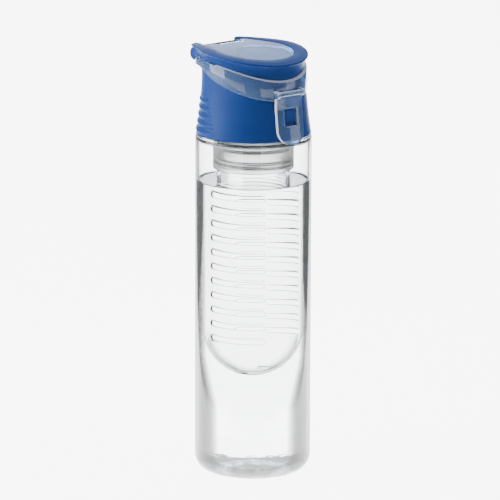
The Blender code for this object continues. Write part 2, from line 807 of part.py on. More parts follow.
def make_hinge_pin():
    """The pin through the knuckle and both lobes."""
    half = LOBE_OUTER - HINGE_PIN_COVER
    return finish(bar_x("hinge_pin", HINGE_PIN_RADIUS, -half, half, HINGE_Y, HINGE_Z), STEEL)


def make_collar():
    """The frosted collar under the cap, with the ridge that carries the basket."""
    profile = [
        (COLLAR_RADIUS, COLLAR_TOP),
        (COLLAR_RADIUS, COLLAR_BOTTOM),
        (COLLAR_BORE, COLLAR_BOTTOM),
        (COLLAR_BORE, LEDGE_UNDERSIDE),
        (INFUSER_SEAL_INNER, LEDGE_UNDERSIDE),
        (INFUSER_SEAL_INNER, LEDGE_TOP),
        (COLLAR_BORE, LEDGE_TOP),
        (COLLAR_BORE, COLLAR_TOP),
    ]
    item = lathe("infuser_collar", profile, RING_SEGMENTS)
    start = BASKET_SHOULDER + BASKET_RIDGE_RISE - BASKET_PITCH / 2
    join(item, tube("collar_ridge", helix(COLLAR_BORE, start, BASKET_PITCH, COLLAR_RIDGE_TURNS), BASKET_RIDGE))
    return finish(item, FROSTED)


def make_infuser_seal():
    """The thin ring between the basket's top and the collar's ledge."""
    outer = BASKET_NECK_RADIUS
    inner = INFUSER_SEAL_INNER
    low = BASKET_TOP + GAP
    high = low + SEAL_THICKNESS
    profile = [(outer, high), (outer, low), (inner, low), (inner, high)]
    return finish(lathe("infuser_seal", profile, RING_SEGMENTS), SILICONE)


def basket_profile():
    """Outer profile of the basket's body from the shoulder down, and the rows that hold slots.

    The last row of slots starts where the dome does.
    """
    profile = [(BASKET_RADIUS, BASKET_SHOULDER)]
    slot_rows = set()
    for row in range(SLOT_ROWS):
        high = BASKET_SHOULDER - SLOT_FIRST_DROP - SLOT_PITCH * row
        slot_rows.add(len(profile))
        profile += [(BASKET_RADIUS, high), (BASKET_RADIUS, high - SLOT_HEIGHT)]
    start = asin(SLOT_HEIGHT / DOME_DEPTH)
    profile[-1] = (BASKET_RADIUS * cos(start), DOME_TOP - SLOT_HEIGHT)
    dome_row = len(profile) - 1 + DOME_SLOT_ROW
    for share in DOME_ANGLE_SHARES:
        angle = start + (pi / 2 - start) * share
        profile.append((BASKET_RADIUS * cos(angle), DOME_TOP - DOME_DEPTH * sin(angle)))
    profile.append((0, DOME_TOP - DOME_DEPTH))
    return profile, slot_rows, dome_row


def basket_angles():
    """Angles round the basket: even steps across each slot, then even steps across the plain wall."""
    angles = []
    plain = tau / SLOT_COLUMNS - SLOT_SPAN
    for slot in range(SLOT_COLUMNS):
        start = BASKET_TURN - SLOT_SPAN / 2 + tau * slot / SLOT_COLUMNS
        angles += [start + SLOT_SPAN * i / SLOT_SPAN_SEGMENTS for i in range(SLOT_SPAN_SEGMENTS)]
        angles += [start + SLOT_SPAN + plain * i / PLAIN_SEGMENTS for i in range(PLAIN_SEGMENTS)]
    return angles


def make_basket():
    """The slotted basket: an open surface with its slots left out, thickened inwards, and its neck."""
    profile, slot_rows, dome_row = basket_profile()
    angles = basket_angles()
    columns = len(angles)
    per_slot = columns // SLOT_COLUMNS
    work = bmesh.new()
    rings = [[work.verts.new((r * cos(a), r * sin(a), z)) for a in angles] for r, z in profile[:-1]]
    rings.append([work.verts.new((0, 0, profile[-1][1]))])
    for row, (high, low) in enumerate(zip(rings, rings[1:])):
        for i in range(columns):
            place = i % per_slot
            if row in slot_rows and place < SLOT_SPAN_SEGMENTS:
                continue
            if row == dome_row and place < DOME_SLOT_SEGMENTS:
                continue
            j = (i + 1) % columns
            corners = [high[i], low[0], high[j]]
            if len(low) > 1:
                corners = [high[i], low[i], low[j], high[j]]
            work.faces.new(corners)
    mesh = bpy.data.meshes.new("infuser_basket")
    work.to_mesh(mesh)
    work.free()
    item = add_object("infuser_basket", mesh)
    shell = item.modifiers.new("Wall", "SOLIDIFY")
    shell.thickness = BASKET_WALL
    shell.offset = -1
    frozen(item)
    tidy(item.data)
    neck_inner = BASKET_NECK_RADIUS - BASKET_WALL
    root = BASKET_SHOULDER - BASKET_NECK_ROOT
    neck = lathe(
        "basket_neck",
        [(BASKET_NECK_RADIUS, BASKET_TOP), (BASKET_NECK_RADIUS, root), (neck_inner, root), (neck_inner, BASKET_TOP)],
        RING_SEGMENTS,
    )
    start = BASKET_SHOULDER + BASKET_RIDGE_RISE
    ridge = tube("basket_ridge", helix(BASKET_NECK_RADIUS, start, BASKET_PITCH, BASKET_RIDGE_TURNS), BASKET_RIDGE)
    join(item, join(neck, ridge))
    return finish(item, CLEAR_BASKET)


def trim_section(side, place):
    """One section of the trim: an upside-down L between the window and the outer wall."""
    rim, lower, wall, window = (outline[place] for outline in TRIM_OUTLINES)
    edge = rim - rim.normalized() * TRIM_EDGE
    points = [
        (window, lid_top(window.y)),
        (edge, lid_top(edge.y)),
        (rim, lid_top(rim.y) - TRIM_EDGE),
        (rim, lid_top(rim.y) - TRIM_FLANGE),
        (lower, trim_bottom(lower.y) + GAP),
        (wall, trim_bottom(wall.y) + GAP),
        (wall, lid_top(wall.y) - TRIM_FLANGE),
        (window, lid_top(window.y) - TRIM_FLANGE),
    ]
    return [(side * p.x, p.y, z) for p, z in points]


def trim_outlines():
    """Half outlines of the trim's rim, lower edge, inner wall and window edge."""
    made = []
    for radius in (LID_RADIUS, LID_RADIUS - TRIM_DRAFT, LID_RADIUS - TRIM_DRAFT - TRIM_WALL):
        scale = radius / LID_RADIUS
        made.append(lid_half_outline(radius, LID_REAR, LID_REAR_HALF_WIDTH * scale))
    made.append(lid_half_outline(WINDOW_RADIUS, LID_REAR, WINDOW_REAR_HALF_WIDTH))
    return made


TRIM_OUTLINES = trim_outlines()


def make_trim():
    """The blue horseshoe ring of the lid, with a hinge lobe at each end."""
    count = len(TRIM_OUTLINES[0])
    sections = [trim_section(-1, i) for i in range(count - 1, 0, -1)] + [trim_section(1, i) for i in range(count)]
    item = loft("lid_trim", sections)
    for side in (-1, 1):
        low, high = sorted((side * LOBE_INNER, side * LOBE_OUTER))
        lobe = bar_x("lobe", LOBE_RADIUS, low, high, HINGE_Y, HINGE_Z, SMALL_SEGMENTS, half_step=True)
        join(item, lobe)
    half = LOBE_OUTER - HINGE_PIN_COVER + PIN_GAP
    cut(item, bar_x("pin_hole", HINGE_PIN_RADIUS + PIN_GAP, -half, half, HINGE_Y, HINGE_Z))
    return finish(item, BLUE, LID_PIVOT)


def make_shell():
    """The clear moulding of the lid: window, inner wall, band, plug holder and clip ears."""
    cup = loft("lid_shell", cup_rings())
    pane_top = crowned_face(window_outline(GAP), lambda y: lid_top(y) - WINDOW_SUNK)
    pane_low = crowned_face(window_outline(GAP), lambda y: lid_top(y) - WINDOW_DEPTH + GAP)
    pane = loft("pane", pane_top + pane_low[::-1])
    cut(cup, hinge_room())
    cut(pane, hinge_room())
    join(cup, pane, plug_holder(), *clip_ears())
    pin = CLIP_PIN_HALF_LENGTH + PIN_GAP
    cut(cup, bar_x("pin_hole", CLIP_PIN_RADIUS + PIN_GAP, -pin, pin, CLIP_PIN_Y, CLIP_PIN_Z))
    return finish(cup, CLEAR_LID, LID_PIVOT)


def cup_rings():
    """Rings of the lid's inner cup: plate, wall, ledge and band, outside first and then inside."""
    inner = LID_WALL_RADIUS - SHELL_WALL
    top = crowned_face(lid_outline(LID_WALL_RADIUS), lambda y: lid_top(y) - TRIM_FLANGE - GAP)
    band = [
        ring_at(lid_outline(LID_WALL_RADIUS), trim_bottom),
        ring_at(lid_outline(BAND_RADIUS), trim_bottom),
        ring_at(lid_outline(BAND_LOW_RADIUS), seam_height),
        ring_at(lid_outline(BAND_LOW_RADIUS - BAND_WALL), seam_height),
        ring_at(lid_outline(BAND_RADIUS - BAND_WALL), lambda y: trim_bottom(y) - BAND_LEDGE),
        ring_at(lid_outline(inner), lambda y: trim_bottom(y) - BAND_LEDGE),
    ]
    under = crowned_face(lid_outline(inner), lambda y: lid_top(y) - WINDOW_DEPTH)
    return top + band + under[::-1]


def hinge_room():
    """The space at the rear of the lid that the cap's knuckle and the lobes need."""
    low = (-BODY_RADIUS, HINGE_Y - BAND_HINGE_GAP, DECK_TOP)
    high = (BODY_RADIUS, LID_REAR + OVERRUN, LID_CREST + OVERRUN)
    return box("hinge_room", low, high)


def tilted(item, height):
    """Tilt a turned piece with the lid, about the spout's middle."""
    turn = Matrix.Translation((0, -SPOUT_OFFSET, height)) @ Matrix.Rotation(plug_slope(), 4, "X")
    item.data.transform(turn)
    return item


def plug_holder():
    """The ring under the window that the plug is pressed into."""
    top = WINDOW_PLATE / 2
    low = -HOLDER_DEPTH
    profile = [(HOLDER_OUTER, top), (HOLDER_OUTER, low), (HOLDER_INNER, low), (HOLDER_INNER, top)]
    return tilted(lathe("holder", profile, RING_SEGMENTS, half_step=True), plug_seat())


def make_plug():
    """The soft plug: a tilted flange, a pad that closes the spout's mouth and a stopper."""
    flange = lathe(
        "spout_plug",
        [(0, 0), (PLUG_RADIUS, 0), (PLUG_RADIUS, -PLUG_THICKNESS), (0, -PLUG_THICKNESS)],
        RING_SEGMENTS,
    )
    tilted(flange, plug_seat() - GAP)
    stopper = SPOUT_BORE - PLUG_STOPPER_GAP
    pad_radius = SPOUT_RADIUS + PLUG_PAD_OVERHANG
    pad_top = plug_seat() - PLUG_THICKNESS
    seat = spout_top() + GAP
    pad_profile = [
        (0, pad_top),
        (pad_radius, pad_top),
        (pad_radius, seat),
        (stopper, seat),
        (stopper, seat - PLUG_STOPPER_LENGTH / 2),
        (stopper - PLUG_STOPPER_GAP, seat - PLUG_STOPPER_LENGTH),
        (0, seat - PLUG_STOPPER_LENGTH),
    ]
    pad = lathe("pad", pad_profile, SMALL_SEGMENTS, half_step=True)
    join(flange, moved(pad, y=-SPOUT_OFFSET))
    return finish(flange, SILICONE, LID_PIVOT)


def clip_ears():
    """The two rounded ears on the band that hold the clip's pin."""
    ears = []
    root = -sqrt((BAND_RADIUS - BAND_WALL / 2) ** 2 - (EAR_INNER + EAR_THICKNESS) ** 2)
    steps = PIN_SEGMENTS // 2
    rounding = [
        (CLIP_PIN_Y - EAR_RADIUS * sin(pi * i / steps), CLIP_PIN_Z + EAR_RADIUS * cos(pi * i / steps))
        for i in range(steps + 1)
    ]
    points = rounding + [(root, CLIP_PIN_Z - EAR_RADIUS / 2), (root, CLIP_PIN_Z + EAR_RADIUS)]
    for side in (-1, 1):
        ear = side_profile_solid("ear", points, EAR_THICKNESS / 2)
        ears.append(moved(ear, x=side * (EAR_INNER + EAR_THICKNESS / 2)))
    return ears


def make_latch_pin():
    """The clip's pin, between its two ears."""
    half = CLIP_PIN_HALF_LENGTH
    return finish(bar_x("latch_pin", CLIP_PIN_RADIUS, -half, half, CLIP_PIN_Y, CLIP_PIN_Z), STEEL, LID_PIVOT)


def clip_inner_radius(height):
    """Radius of the clip's inner face, which follows the cap's flare and clears the band."""
    return max(cap_radius(height), BAND_LOW_RADIUS) + CLIP_STANDOFF


def make_clip():
    """The clear clip: a curved plate cut to a U outline, with a barrel on top and a square hole."""
    bottom = CAP_BOTTOM - CLIP_TIP_DROP
    shoulder = CLIP_PIN_Z - CLIP_SHOULDER_DROP
    flare = [height for _, height in reversed(cap_wall()) if height < shoulder]
    levels = [CLIP_PIN_Z, shoulder, *flare, bottom - OVERRUN]
    outer = [(clip_inner_radius(z) + CLIP_THICKNESS, z) for z in levels]
    inner = [(clip_inner_radius(z), z) for z in reversed(levels)]
    item = lathe("latch_clip", outer + inner, SEGMENTS * 2)
    narrow = EAR_INNER - GAP
    corner = (CLIP_HALF_WIDTH - CLIP_TIP_ROUND, bottom + CLIP_TIP_ROUND)
    low = arc(corner, CLIP_TIP_ROUND, 0, -pi / 2, 6)
    right = [(narrow, CLIP_PIN_Z), (narrow, shoulder), (CLIP_HALF_WIDTH, shoulder)] + low
    left = [(-x, z) for x, z in reversed(right)]
    turn = Matrix.Translation((0, CLIP_PIN_Y, 0)) @ Matrix.Rotation(pi / 2, 4, "X")
    mask = outline_solid("clip_mask", right + left, OVERRUN * 2, turn)
    boolean(item, mask, "INTERSECT")
    join(item, bar_x("barrel", CLIP_BARREL_RADIUS, -narrow, narrow, CLIP_PIN_Y, CLIP_PIN_Z))
    side = CATCH_SIDE / 2 + CLIP_HOLE_SIDE_PLAY
    hole = box(
        "clip_hole",
        (-side, CLIP_PIN_Y - OVERRUN * 2, CATCH_LOW - CLIP_HOLE_LOW_PLAY),
        (side, CLIP_PIN_Y + OVERRUN * 2, CATCH_HIGH + CLIP_HOLE_HIGH_PLAY),
    )
    bore = bar_x("bore", CLIP_PIN_RADIUS + PIN_GAP, -narrow - OVERRUN, narrow + OVERRUN, CLIP_PIN_Y, CLIP_PIN_Z)
    cut(item, hole, bore)
    return finish(item, CLEAR_LID, CLIP_PIVOT)


def main():
    """Build every piece of the bottle."""
    make_body()
    make_neck_seal()
    make_cap()
    make_vent_valve()
    make_hinge_pin()
    make_collar()
    make_infuser_seal()
    make_basket()
    make_trim()
    make_shell()
    make_plug()
    make_latch_pin()
    make_clip()


main()
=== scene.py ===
"""Dress the clear infuser bottle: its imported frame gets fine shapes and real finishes.

All sizes in the classes are millimetres. The bottle stands at the origin, +Z is up, the clip and the
spout are at the front (-Y), and the lid's hinge is at the rear (+Y).
"""

import logging
from dataclasses import dataclass
from enum import Enum
from math import acos, asin, atan2, cos, pi, radians, sin, sqrt, tau
from typing import Callable, Container, Iterable, Sequence

import bmesh
import bpy
from bpy.types import ID, Material, Mesh, Node, NodeTree, Object
from mathutils import Matrix, Vector


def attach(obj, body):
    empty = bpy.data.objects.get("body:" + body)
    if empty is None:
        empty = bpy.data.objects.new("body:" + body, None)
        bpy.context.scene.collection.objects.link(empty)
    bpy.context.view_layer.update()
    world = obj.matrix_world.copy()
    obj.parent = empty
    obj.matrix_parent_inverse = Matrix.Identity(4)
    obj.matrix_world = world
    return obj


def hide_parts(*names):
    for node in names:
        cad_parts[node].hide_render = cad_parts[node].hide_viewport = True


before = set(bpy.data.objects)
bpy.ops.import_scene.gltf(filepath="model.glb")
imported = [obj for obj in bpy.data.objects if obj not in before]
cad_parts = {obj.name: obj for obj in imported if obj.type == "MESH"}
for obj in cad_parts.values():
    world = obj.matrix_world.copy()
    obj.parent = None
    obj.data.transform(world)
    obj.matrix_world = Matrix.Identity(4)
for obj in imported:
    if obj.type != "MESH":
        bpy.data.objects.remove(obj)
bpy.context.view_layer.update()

LOG = logging.getLogger("infuser_bottle")
MM = 0.001
SHARP = 38.0
# Face attribute for painted edge highlights and painted edge shade on clear pieces.
PAINTED_EDGE = "cut_edge"
HERE = "place.Object"
MATH = "ShaderNodeMath"
NOISE = "ShaderNodeTexNoise"
SPAN = "ShaderNodeMapRange"
MIX = "ShaderNodeMix"
BUMP = "ShaderNodeBump"
SPLIT = "ShaderNodeSeparateXYZ"
JOIN = "ShaderNodeCombineXYZ"
MESH_LINE = "GeometryNodeMeshLine"
SWEEP = "GeometryNodeCurveToMesh"
ON_POINTS = "GeometryNodeInstanceOnPoints"
MOVE = "GeometryNodeTransform"
REALIZE = "GeometryNodeRealizeInstances"
RGBA = {"data_type": "RGBA"}
OFFSET = {"mode": "OFFSET"}
Pair = tuple[float, float]
Point = tuple[float, float, float]
Ring = list[Point]
Profile = list[Pair]
Rule = Callable[[float], float]
Row = tuple


# Colour and nodes.

def linear(code: str) -> tuple[float, float, float, float]:
    """Turn an sRGB hex colour to linear.

    Args:
        code: six hex digits with a leading hash sign.

    Returns:
        Linear red, green, blue and an alpha of one.
    """
    parts = [int(code[i:i + 2], 16) / 255 for i in (1, 3, 5)]
    return (*(c / 12.92 if c <= 0.04045 else ((c + 0.055) / 1.055) ** 2.4 for c in parts), 1.0)


def fill(node: Node, inputs: dict) -> None:
    """Fill a node's inputs with values or links.

    Args:
        node: the node.
        inputs: a value for each input, or the name of an earlier node, with a dot and the name of its
            output where that isn't the first one in use.
    """
    tree = node.id_data
    for key, value in inputs.items():
        if isinstance(value, str):
            label, _, output = value.partition(".")
            given = tree.nodes[label].outputs
            tree.links.new(given[output] if output else next(s for s in given if s.enabled), node.inputs[key])
        else:
            node.inputs[key].default_value = value


def add_node(tree: NodeTree, label: str, kind: str, inputs: dict, settings: dict | None = None) -> None:
    """Add a node with its settings and links.

    Args:
        tree: the tree that gets the node.
        label: the node's name in the tree.
        kind: Blender's name of the node type.
        inputs: its inputs, as fill takes them.
        settings: its properties.
    """
    made = tree.nodes.new(kind)
    made.name = label
    for name, value in (settings or {}).items():
        setattr(made, name, value)
    fill(made, inputs)


def chain(kind: str, *steps: Row) -> list[Row]:
    """Rows for add_node of one node type.

    Args:
        kind: the node type.
        steps: label, operation and values of each node.

    Returns:
        The rows.
    """
    return [(label, kind, dict(enumerate(values)), {"operation": operation})
            for label, operation, *values in steps]


def shaded(name: str, rows: Iterable[Row], sockets: dict) -> Material:
    """Make a material of a table of nodes that ends in its Principled shader.

    Args:
        name: the material's name.
        rows: what add_node needs for each node.
        sockets: the shader's inputs, as fill takes them.

    Returns:
        The material.
    """
    made = bpy.data.materials.new(name)
    made.use_nodes = True
    for row in (("place", "ShaderNodeTexCoord", {}), *rows):
        add_node(made.node_tree, *row)
    fill(made.node_tree.nodes["Principled BSDF"], sockets)
    return made


# Finishes.

@dataclass(frozen=True)
class ClearPlastic:
    """Clear moulded plastic with faint flow ripples; grazing faces are painted the edge colour (painted shade
    where that colour is darker, a painted sheen where it is paler), and marked faces are painted the cut
    colour (painted edge highlights and painted edge shade).
    """

    name: str
    tint: str
    # The edge colour is painted in at grazing angles: painted shade for the dark surroundings seen through
    # the wall, a painted sheen where it is paler than the tint.
    edge: str
    ior: float
    roughness: float = 0.015
    painted_grazing_start: float = 0.6
    painted_grazing_end: float = 0.85
    edge_blur: float = 0.0
    painted_grazing_top_mm: float = 1000.0
    painted_grazing_fade_mm: float = 8.0
    haze: float = 0.0
    # The cut colour is painted on the marked faces, with less clarity: painted edge highlights on the lid and
    # clip, painted edge shade round the basket's slots.
    cut: str = "#FFFFFF"
    painted_edge_haze: float = 0.0
    ripple_mm: float = 18.0
    ripple_depth_mm: float = 0.02
    smear_mm: float = 7.0
    mottle_mm: float = 0.0
    mottle_size_mm: float = 5.0
    mottle_span_mm: Pair = (14.0, 5.0)

    def material(self) -> Material:
        """Build the material.

        Returns:
            The finished material.
        """
        high, low = self.mottle_span_mm
        return shaded(self.name, [
            ("facing", "ShaderNodeLayerWeight", {"Blend": 0.5}),
            ("spot", SPLIT, {0: HERE}),
            # Painted grazing tone: the colour turns to the edge colour as faces turn away from view, faded
            # out above the given height.
            ("reached", SPAN, {
                "Value": "spot.Z", "From Min": (self.painted_grazing_top_mm + self.painted_grazing_fade_mm) * MM,
                "From Max": self.painted_grazing_top_mm * MM}),
            ("share", SPAN, {
                "Value": "facing.Facing", "From Min": self.painted_grazing_start, "From Max": self.painted_grazing_end,
                "To Max": "reached"}),
            ("plain", MIX, {0: "share", 6: linear(self.tint), 7: linear(self.edge)}, RGBA),
            # Painted edge marks: marked faces take the cut colour and lose clarity.
            ("thickness", "ShaderNodeAttribute", {}, {"attribute_name": PAINTED_EDGE}),
            ("colour", MIX, {0: "thickness.Fac", 6: "plain", 7: linear(self.cut)}, RGBA),
            ("clear", SPAN, {
                "Value": "thickness.Fac", "To Min": 1 - self.haze, "To Max": 1 - self.haze - self.painted_edge_haze}),
            ("ripple", NOISE, {"Vector": HERE, "Scale": 1 / (self.ripple_mm * MM), "Detail": 2.0}),
            ("smear", NOISE, {"Vector": HERE, "Scale": 1 / (self.smear_mm * MM), "Detail": 5.0}),
            ("smeared", SPAN, {
                "Value": "smear", "From Min": 0.4, "From Max": 0.75, "To Min": self.roughness,
                "To Max": self.roughness * 1.6 + 0.01}),
            *chain(MATH, ("rough", "MULTIPLY_ADD", "share", self.edge_blur, "smeared")),
            ("near_floor", SPAN, {"Value": "spot.Z", "From Min": high * MM, "From Max": low * MM}),
            ("mottle", NOISE, {
                "Vector": HERE, "Scale": 1 / (self.mottle_size_mm * MM), "Detail": 3.0}),
            ("pits", BUMP, {
                "Height": "mottle", "Distance": self.mottle_mm * MM, "Strength": "near_floor"}),
            ("bump", BUMP, {
                "Height": "ripple", "Distance": self.ripple_depth_mm * MM, "Strength": 0.5,
                "Normal": "pits"}),
        ], {"Base Color": "colour", "Roughness": "rough", "Normal": "bump", "IOR": self.ior,
            "Transmission Weight": "clear"})


@dataclass(frozen=True)
class MouldedBlue:
    """Blue polypropylene, injection moulded: satin, with a fine even grain and faint flow shading."""

    name: str
    base: str
    flow: str
    roughness: float = 0.42
    ior: float = 1.49
    gloss: float = 0.12
    flow_mm: float = 26.0
    grain_mm: float = 0.35
    grain_depth_mm: float = 0.012

    def material(self) -> Material:
        """Build the material.

        Returns:
            The finished material.
        """
        return shaded(self.name, [
            ("flow", NOISE, {"Vector": HERE, "Scale": 1 / (self.flow_mm * MM), "Detail": 3.0}),
            ("share", SPAN, {"Value": "flow", "From Min": 0.3, "From Max": 0.7}),
            ("colour", MIX, {0: "share", 6: linear(self.base), 7: linear(self.flow)}, RGBA),
            ("grain", NOISE, {"Vector": HERE, "Scale": 1 / (self.grain_mm * MM), "Detail": 2.0}),
            ("rough", SPAN, {
                "Value": "flow", "From Min": 0.3, "From Max": 0.7, "To Min": self.roughness - 0.03,
                "To Max": self.roughness + 0.05}),
            ("bump", BUMP, {
                "Height": "grain", "Distance": self.grain_depth_mm * MM, "Strength": 0.35}),
        ], {"Base Color": "colour", "Roughness": "rough", "Normal": "bump", "IOR": self.ior,
            "Specular IOR Level": self.gloss})


@dataclass(frozen=True)
class MilkyRubber:
    """Silicone rubber, pressed in a mould: milky, soft to light and nearly matt."""

    name: str
    base: str
    shade: str
    roughness: float = 0.5
    ior: float = 1.41
    see_through: float = 0.25
    cloud_mm: float = 4.0
    dust_mm: float = 0.5
    dust_depth_mm: float = 0.01

    def material(self) -> Material:
        """Build the material.

        Returns:
            The finished material.
        """
        return shaded(self.name, [
            ("cloud", NOISE, {"Vector": HERE, "Scale": 1 / (self.cloud_mm * MM), "Detail": 4.0}),
            ("colour", MIX, {0: "cloud", 6: linear(self.base), 7: linear(self.shade)}, RGBA),
            ("dust", NOISE, {"Vector": HERE, "Scale": 1 / (self.dust_mm * MM), "Detail": 2.0}),
            ("bump", BUMP, {"Height": "dust", "Distance": self.dust_depth_mm * MM, "Strength": 0.4}),
        ], {"Base Color": "colour", "Normal": "bump", "Roughness": self.roughness, "IOR": self.ior,
            "Transmission Weight": self.see_through})


@dataclass(frozen=True)
class DrawnSteel:
    """Stainless wire, drawn and cut: fine lines run along it, so its gloss is stretched."""

    name: str
    base: str
    line: str
    line_mm: float = 0.12
    stretch: Point = (0.02, 1.0, 1.0)

    def material(self) -> Material:
        """Build the material.

        Returns:
            The finished material.
        """
        return shaded(self.name, [
            ("stretched", "ShaderNodeMapping", {"Vector": HERE, "Scale": self.stretch}),
            ("lines", NOISE, {
                "Vector": "stretched", "Scale": 1 / (self.line_mm * MM), "Detail": 3.0}),
            ("colour", MIX, {0: "lines", 6: linear(self.base), 7: linear(self.line)}, RGBA),
            ("rough", SPAN, {"Value": "lines", "To Min": 0.18, "To Max": 0.38}),
        ], {"Base Color": "colour", "Roughness": "rough", "Metallic": 1.0})


@dataclass(frozen=True)
class DrinkingWater:
    """Still water: clear, with a faint cool cast, a barely moving surface, and painted shade that turns its
    sides near black at grazing angles.
    """

    name: str
    tint: str
    # The edge colour is painted on the sides at grazing angles: painted shade.
    edge: str
    ior: float = 1.333
    low_painted_grazing_start: float = 0.10
    painted_grazing_start: float = 0.170
    painted_grazing_span_mm: Pair = (45.0, 75.0)
    surface_blur: float = 0.10
    # How steeply the painted shade comes in past its grazing angle.
    depth: float = 95.0
    wave_mm: float = 22.0
    wave_depth_mm: float = 0.03

    def material(self) -> Material:
        """Build the material.

        Returns:
            The finished material.
        """
        low, high = self.painted_grazing_span_mm
        return shaded(self.name, [
            ("facing", "ShaderNodeLayerWeight", {"Blend": 0.5}),
            ("spot", SPLIT, {0: HERE}),
            ("shape", "ShaderNodeNewGeometry", {}),
            ("tilt", SPLIT, {0: "shape.Normal"}),
            ("start", SPAN, {
                "Value": "spot.Z", "From Min": low * MM, "From Max": high * MM,
                "To Min": self.low_painted_grazing_start, "To Max": self.painted_grazing_start}),
            # Painted shade: the sides fall to the edge colour past a grazing angle that rises with height;
            # the level surface and back faces stay clear.
            *chain(
                MATH, ("upright", "ABSOLUTE", "tilt.Z"), ("flat", "MULTIPLY_ADD", "upright", -2.0, 1.4),
                ("low", "MAXIMUM", "flat", 0.0), ("side", "MINIMUM", "low", 1.0),
                ("past", "SUBTRACT", "facing.Facing", "start"), ("slant", "MAXIMUM", "past", 0.0),
                ("fall", "MULTIPLY", "slant", -self.depth), ("left", "EXPONENT", "fall"),
                ("dim", "SUBTRACT", 1.0, "left"), ("front", "SUBTRACT", 1.0, "shape.Backfacing"),
                ("shown", "MULTIPLY", "dim", "side"), ("share", "MULTIPLY", "shown", "front")),
            ("colour", MIX, {0: "share", 6: linear(self.tint), 7: linear(self.edge)}, RGBA),
            ("wave", NOISE, {"Vector": HERE, "Scale": 1 / (self.wave_mm * MM), "Detail": 1.0}),
            ("bump", BUMP, {"Height": "wave", "Distance": self.wave_depth_mm * MM, "Strength": 0.3}),
            ("calm", SPAN, {
                "Value": "upright", "From Min": 0.8, "From Max": 0.95, "To Max": self.surface_blur}),
        ], {"Base Color": "colour", "Normal": "bump", "Roughness": "calm", "IOR": self.ior,
            "Transmission Weight": 1.0})


class Finish(Enum):
    """The finishes on this bottle, each with its recipe."""

    # Grazing faces painted near black: painted shade for the dark surroundings seen through the wall.
    BODY = ClearPlastic("clear_copolyester", "#FAFBFB", "#141617", 1.52, painted_grazing_start=0.70, painted_grazing_end=0.84,
                        edge_blur=0.3, mottle_mm=0.30)
    # Grazing faces on the dome painted near black and the level faces round the slots painted dark grey:
    # painted shade.
    BASKET = ClearPlastic("clear_basket_plastic", "#FDFDFD", "#101314", 1.28, painted_grazing_start=0.35, painted_grazing_end=0.72,
                          painted_grazing_top_mm=80.0, cut="#33393C")
    # Grazing faces painted a paler blue and marked edges painted near white: a painted sheen and painted edge
    # highlights.
    LID = ClearPlastic("clear_lid_plastic", "#8FB8F4", "#A5C4F2", 1.50, haze=0.21, cut="#E3EEFF",
                       painted_edge_haze=0.8)
    # Grazing faces painted a little darker grey: faint painted shade.
    COLLAR = ClearPlastic("frosted_polypropylene", "#DCDEDE", "#CACECD", 1.30, roughness=0.32)
    BLUE = MouldedBlue("blue_polypropylene", "#1E4289", "#1B3D81")
    SILICONE = MilkyRubber("milky_silicone", "#ECEDE8", "#DCDFDA")
    STEEL = DrawnSteel("drawn_stainless_wire", "#B9BBBD", "#8D9093")
    # Grazing sides painted near black: painted shade.
    WATER = DrinkingWater("drinking_water", "#FDFEFE", "#060707")


MADE: dict[Finish, Material] = {}


def finish_material(finish: Finish) -> Material:
    """The one material of a finish, made at its first use.

    Args:
        finish: the finish that is wanted.

    Returns:
        The shared material.
    """
    if finish not in MADE:
        MADE[finish] = finish.value.material()
    return MADE[finish]


# Meshes.

def arc(centre: Pair, radius: float, start: float, end: float, steps: int = 8) -> Profile:
    """Points of an arc in the (radius, height) plane.

    Args:
        centre: the arc's centre.
        radius: its radius.
        start: first angle in degrees.
        end: last angle in degrees.
        steps: number of chords.

    Returns:
        The arc's points, both ends included.
    """
    angles = [radians(start + (end - start) * i / steps) for i in range(steps + 1)]
    return [(centre[0] + radius * cos(a), centre[1] + radius * sin(a)) for a in angles]


def circle(radius: float, count: int, phase: float = 0.0) -> Profile:
    """Points of a circle round the origin.

    Args:
        radius: its radius; with none, the middle is the only point.
        count: number of points.
        phase: turn of the first point, in steps.

    Returns:
        The points.
    """
    angles = [tau * (i + phase) / count for i in range(count if radius > 0 else 1)]
    return [(radius * cos(a), radius * sin(a)) for a in angles]


def eased(corners: Sequence[Point], closed: bool = True, steps: int = 4) -> Profile:
    """Round the corners of an outline.

    Args:
        corners: points as (radius, height, setback of the rounding).
        closed: whether the last point joins the first.
        steps: number of chords of each rounding.

    Returns:
        The rounded outline.
    """
    made: Profile = []
    count = len(corners)
    for i, (x, z, setback) in enumerate(corners):
        if setback == 0 or (not closed and i in (0, count - 1)):
            made.append((x, z))
            continue
        here = Vector((x, z))
        before = Vector(corners[i - 1][:2]) - here
        after = Vector(corners[(i + 1) % count][:2]) - here
        reach = min(setback, before.length * 0.49, after.length * 0.49)
        first = here + before.normalized() * reach
        last = here + after.normalized() * reach
        for t in (k / steps for k in range(steps + 1)):
            made.append(tuple(first * (1 - t) ** 2 + here * 2 * t * (1 - t) + last * t ** 2))
    return made


def stored(name: str, work: bmesh.types.BMesh) -> Mesh:
    """Store a mesh under construction, which is freed."""
    mesh = bpy.data.meshes.new(name)
    work.to_mesh(mesh)
    work.free()
    return mesh


def shade(mesh: Mesh, sharp: float = SHARP) -> Mesh:
    """Shade a mesh smooth, but for its edges past an angle in degrees."""
    mesh.shade_smooth()
    mesh.set_sharp_from_angle(angle=radians(sharp))
    return mesh


def closed_mesh(name: str, work: bmesh.types.BMesh, sharp: float = SHARP) -> Mesh:
    """Weld, turn outwards, shade and store a mesh given in millimetres.

    Args:
        name: the mesh's name.
        work: the mesh under construction, which is freed.
        sharp: edges past this angle in degrees stay sharp.

    Returns:
        The mesh in metres.
    """
    bmesh.ops.remove_doubles(work, verts=work.verts, dist=0.0005)
    bmesh.ops.recalc_face_normals(work, faces=work.faces)
    bmesh.ops.scale(work, vec=(MM, MM, MM), verts=work.verts)
    return shade(stored(name, work), sharp)


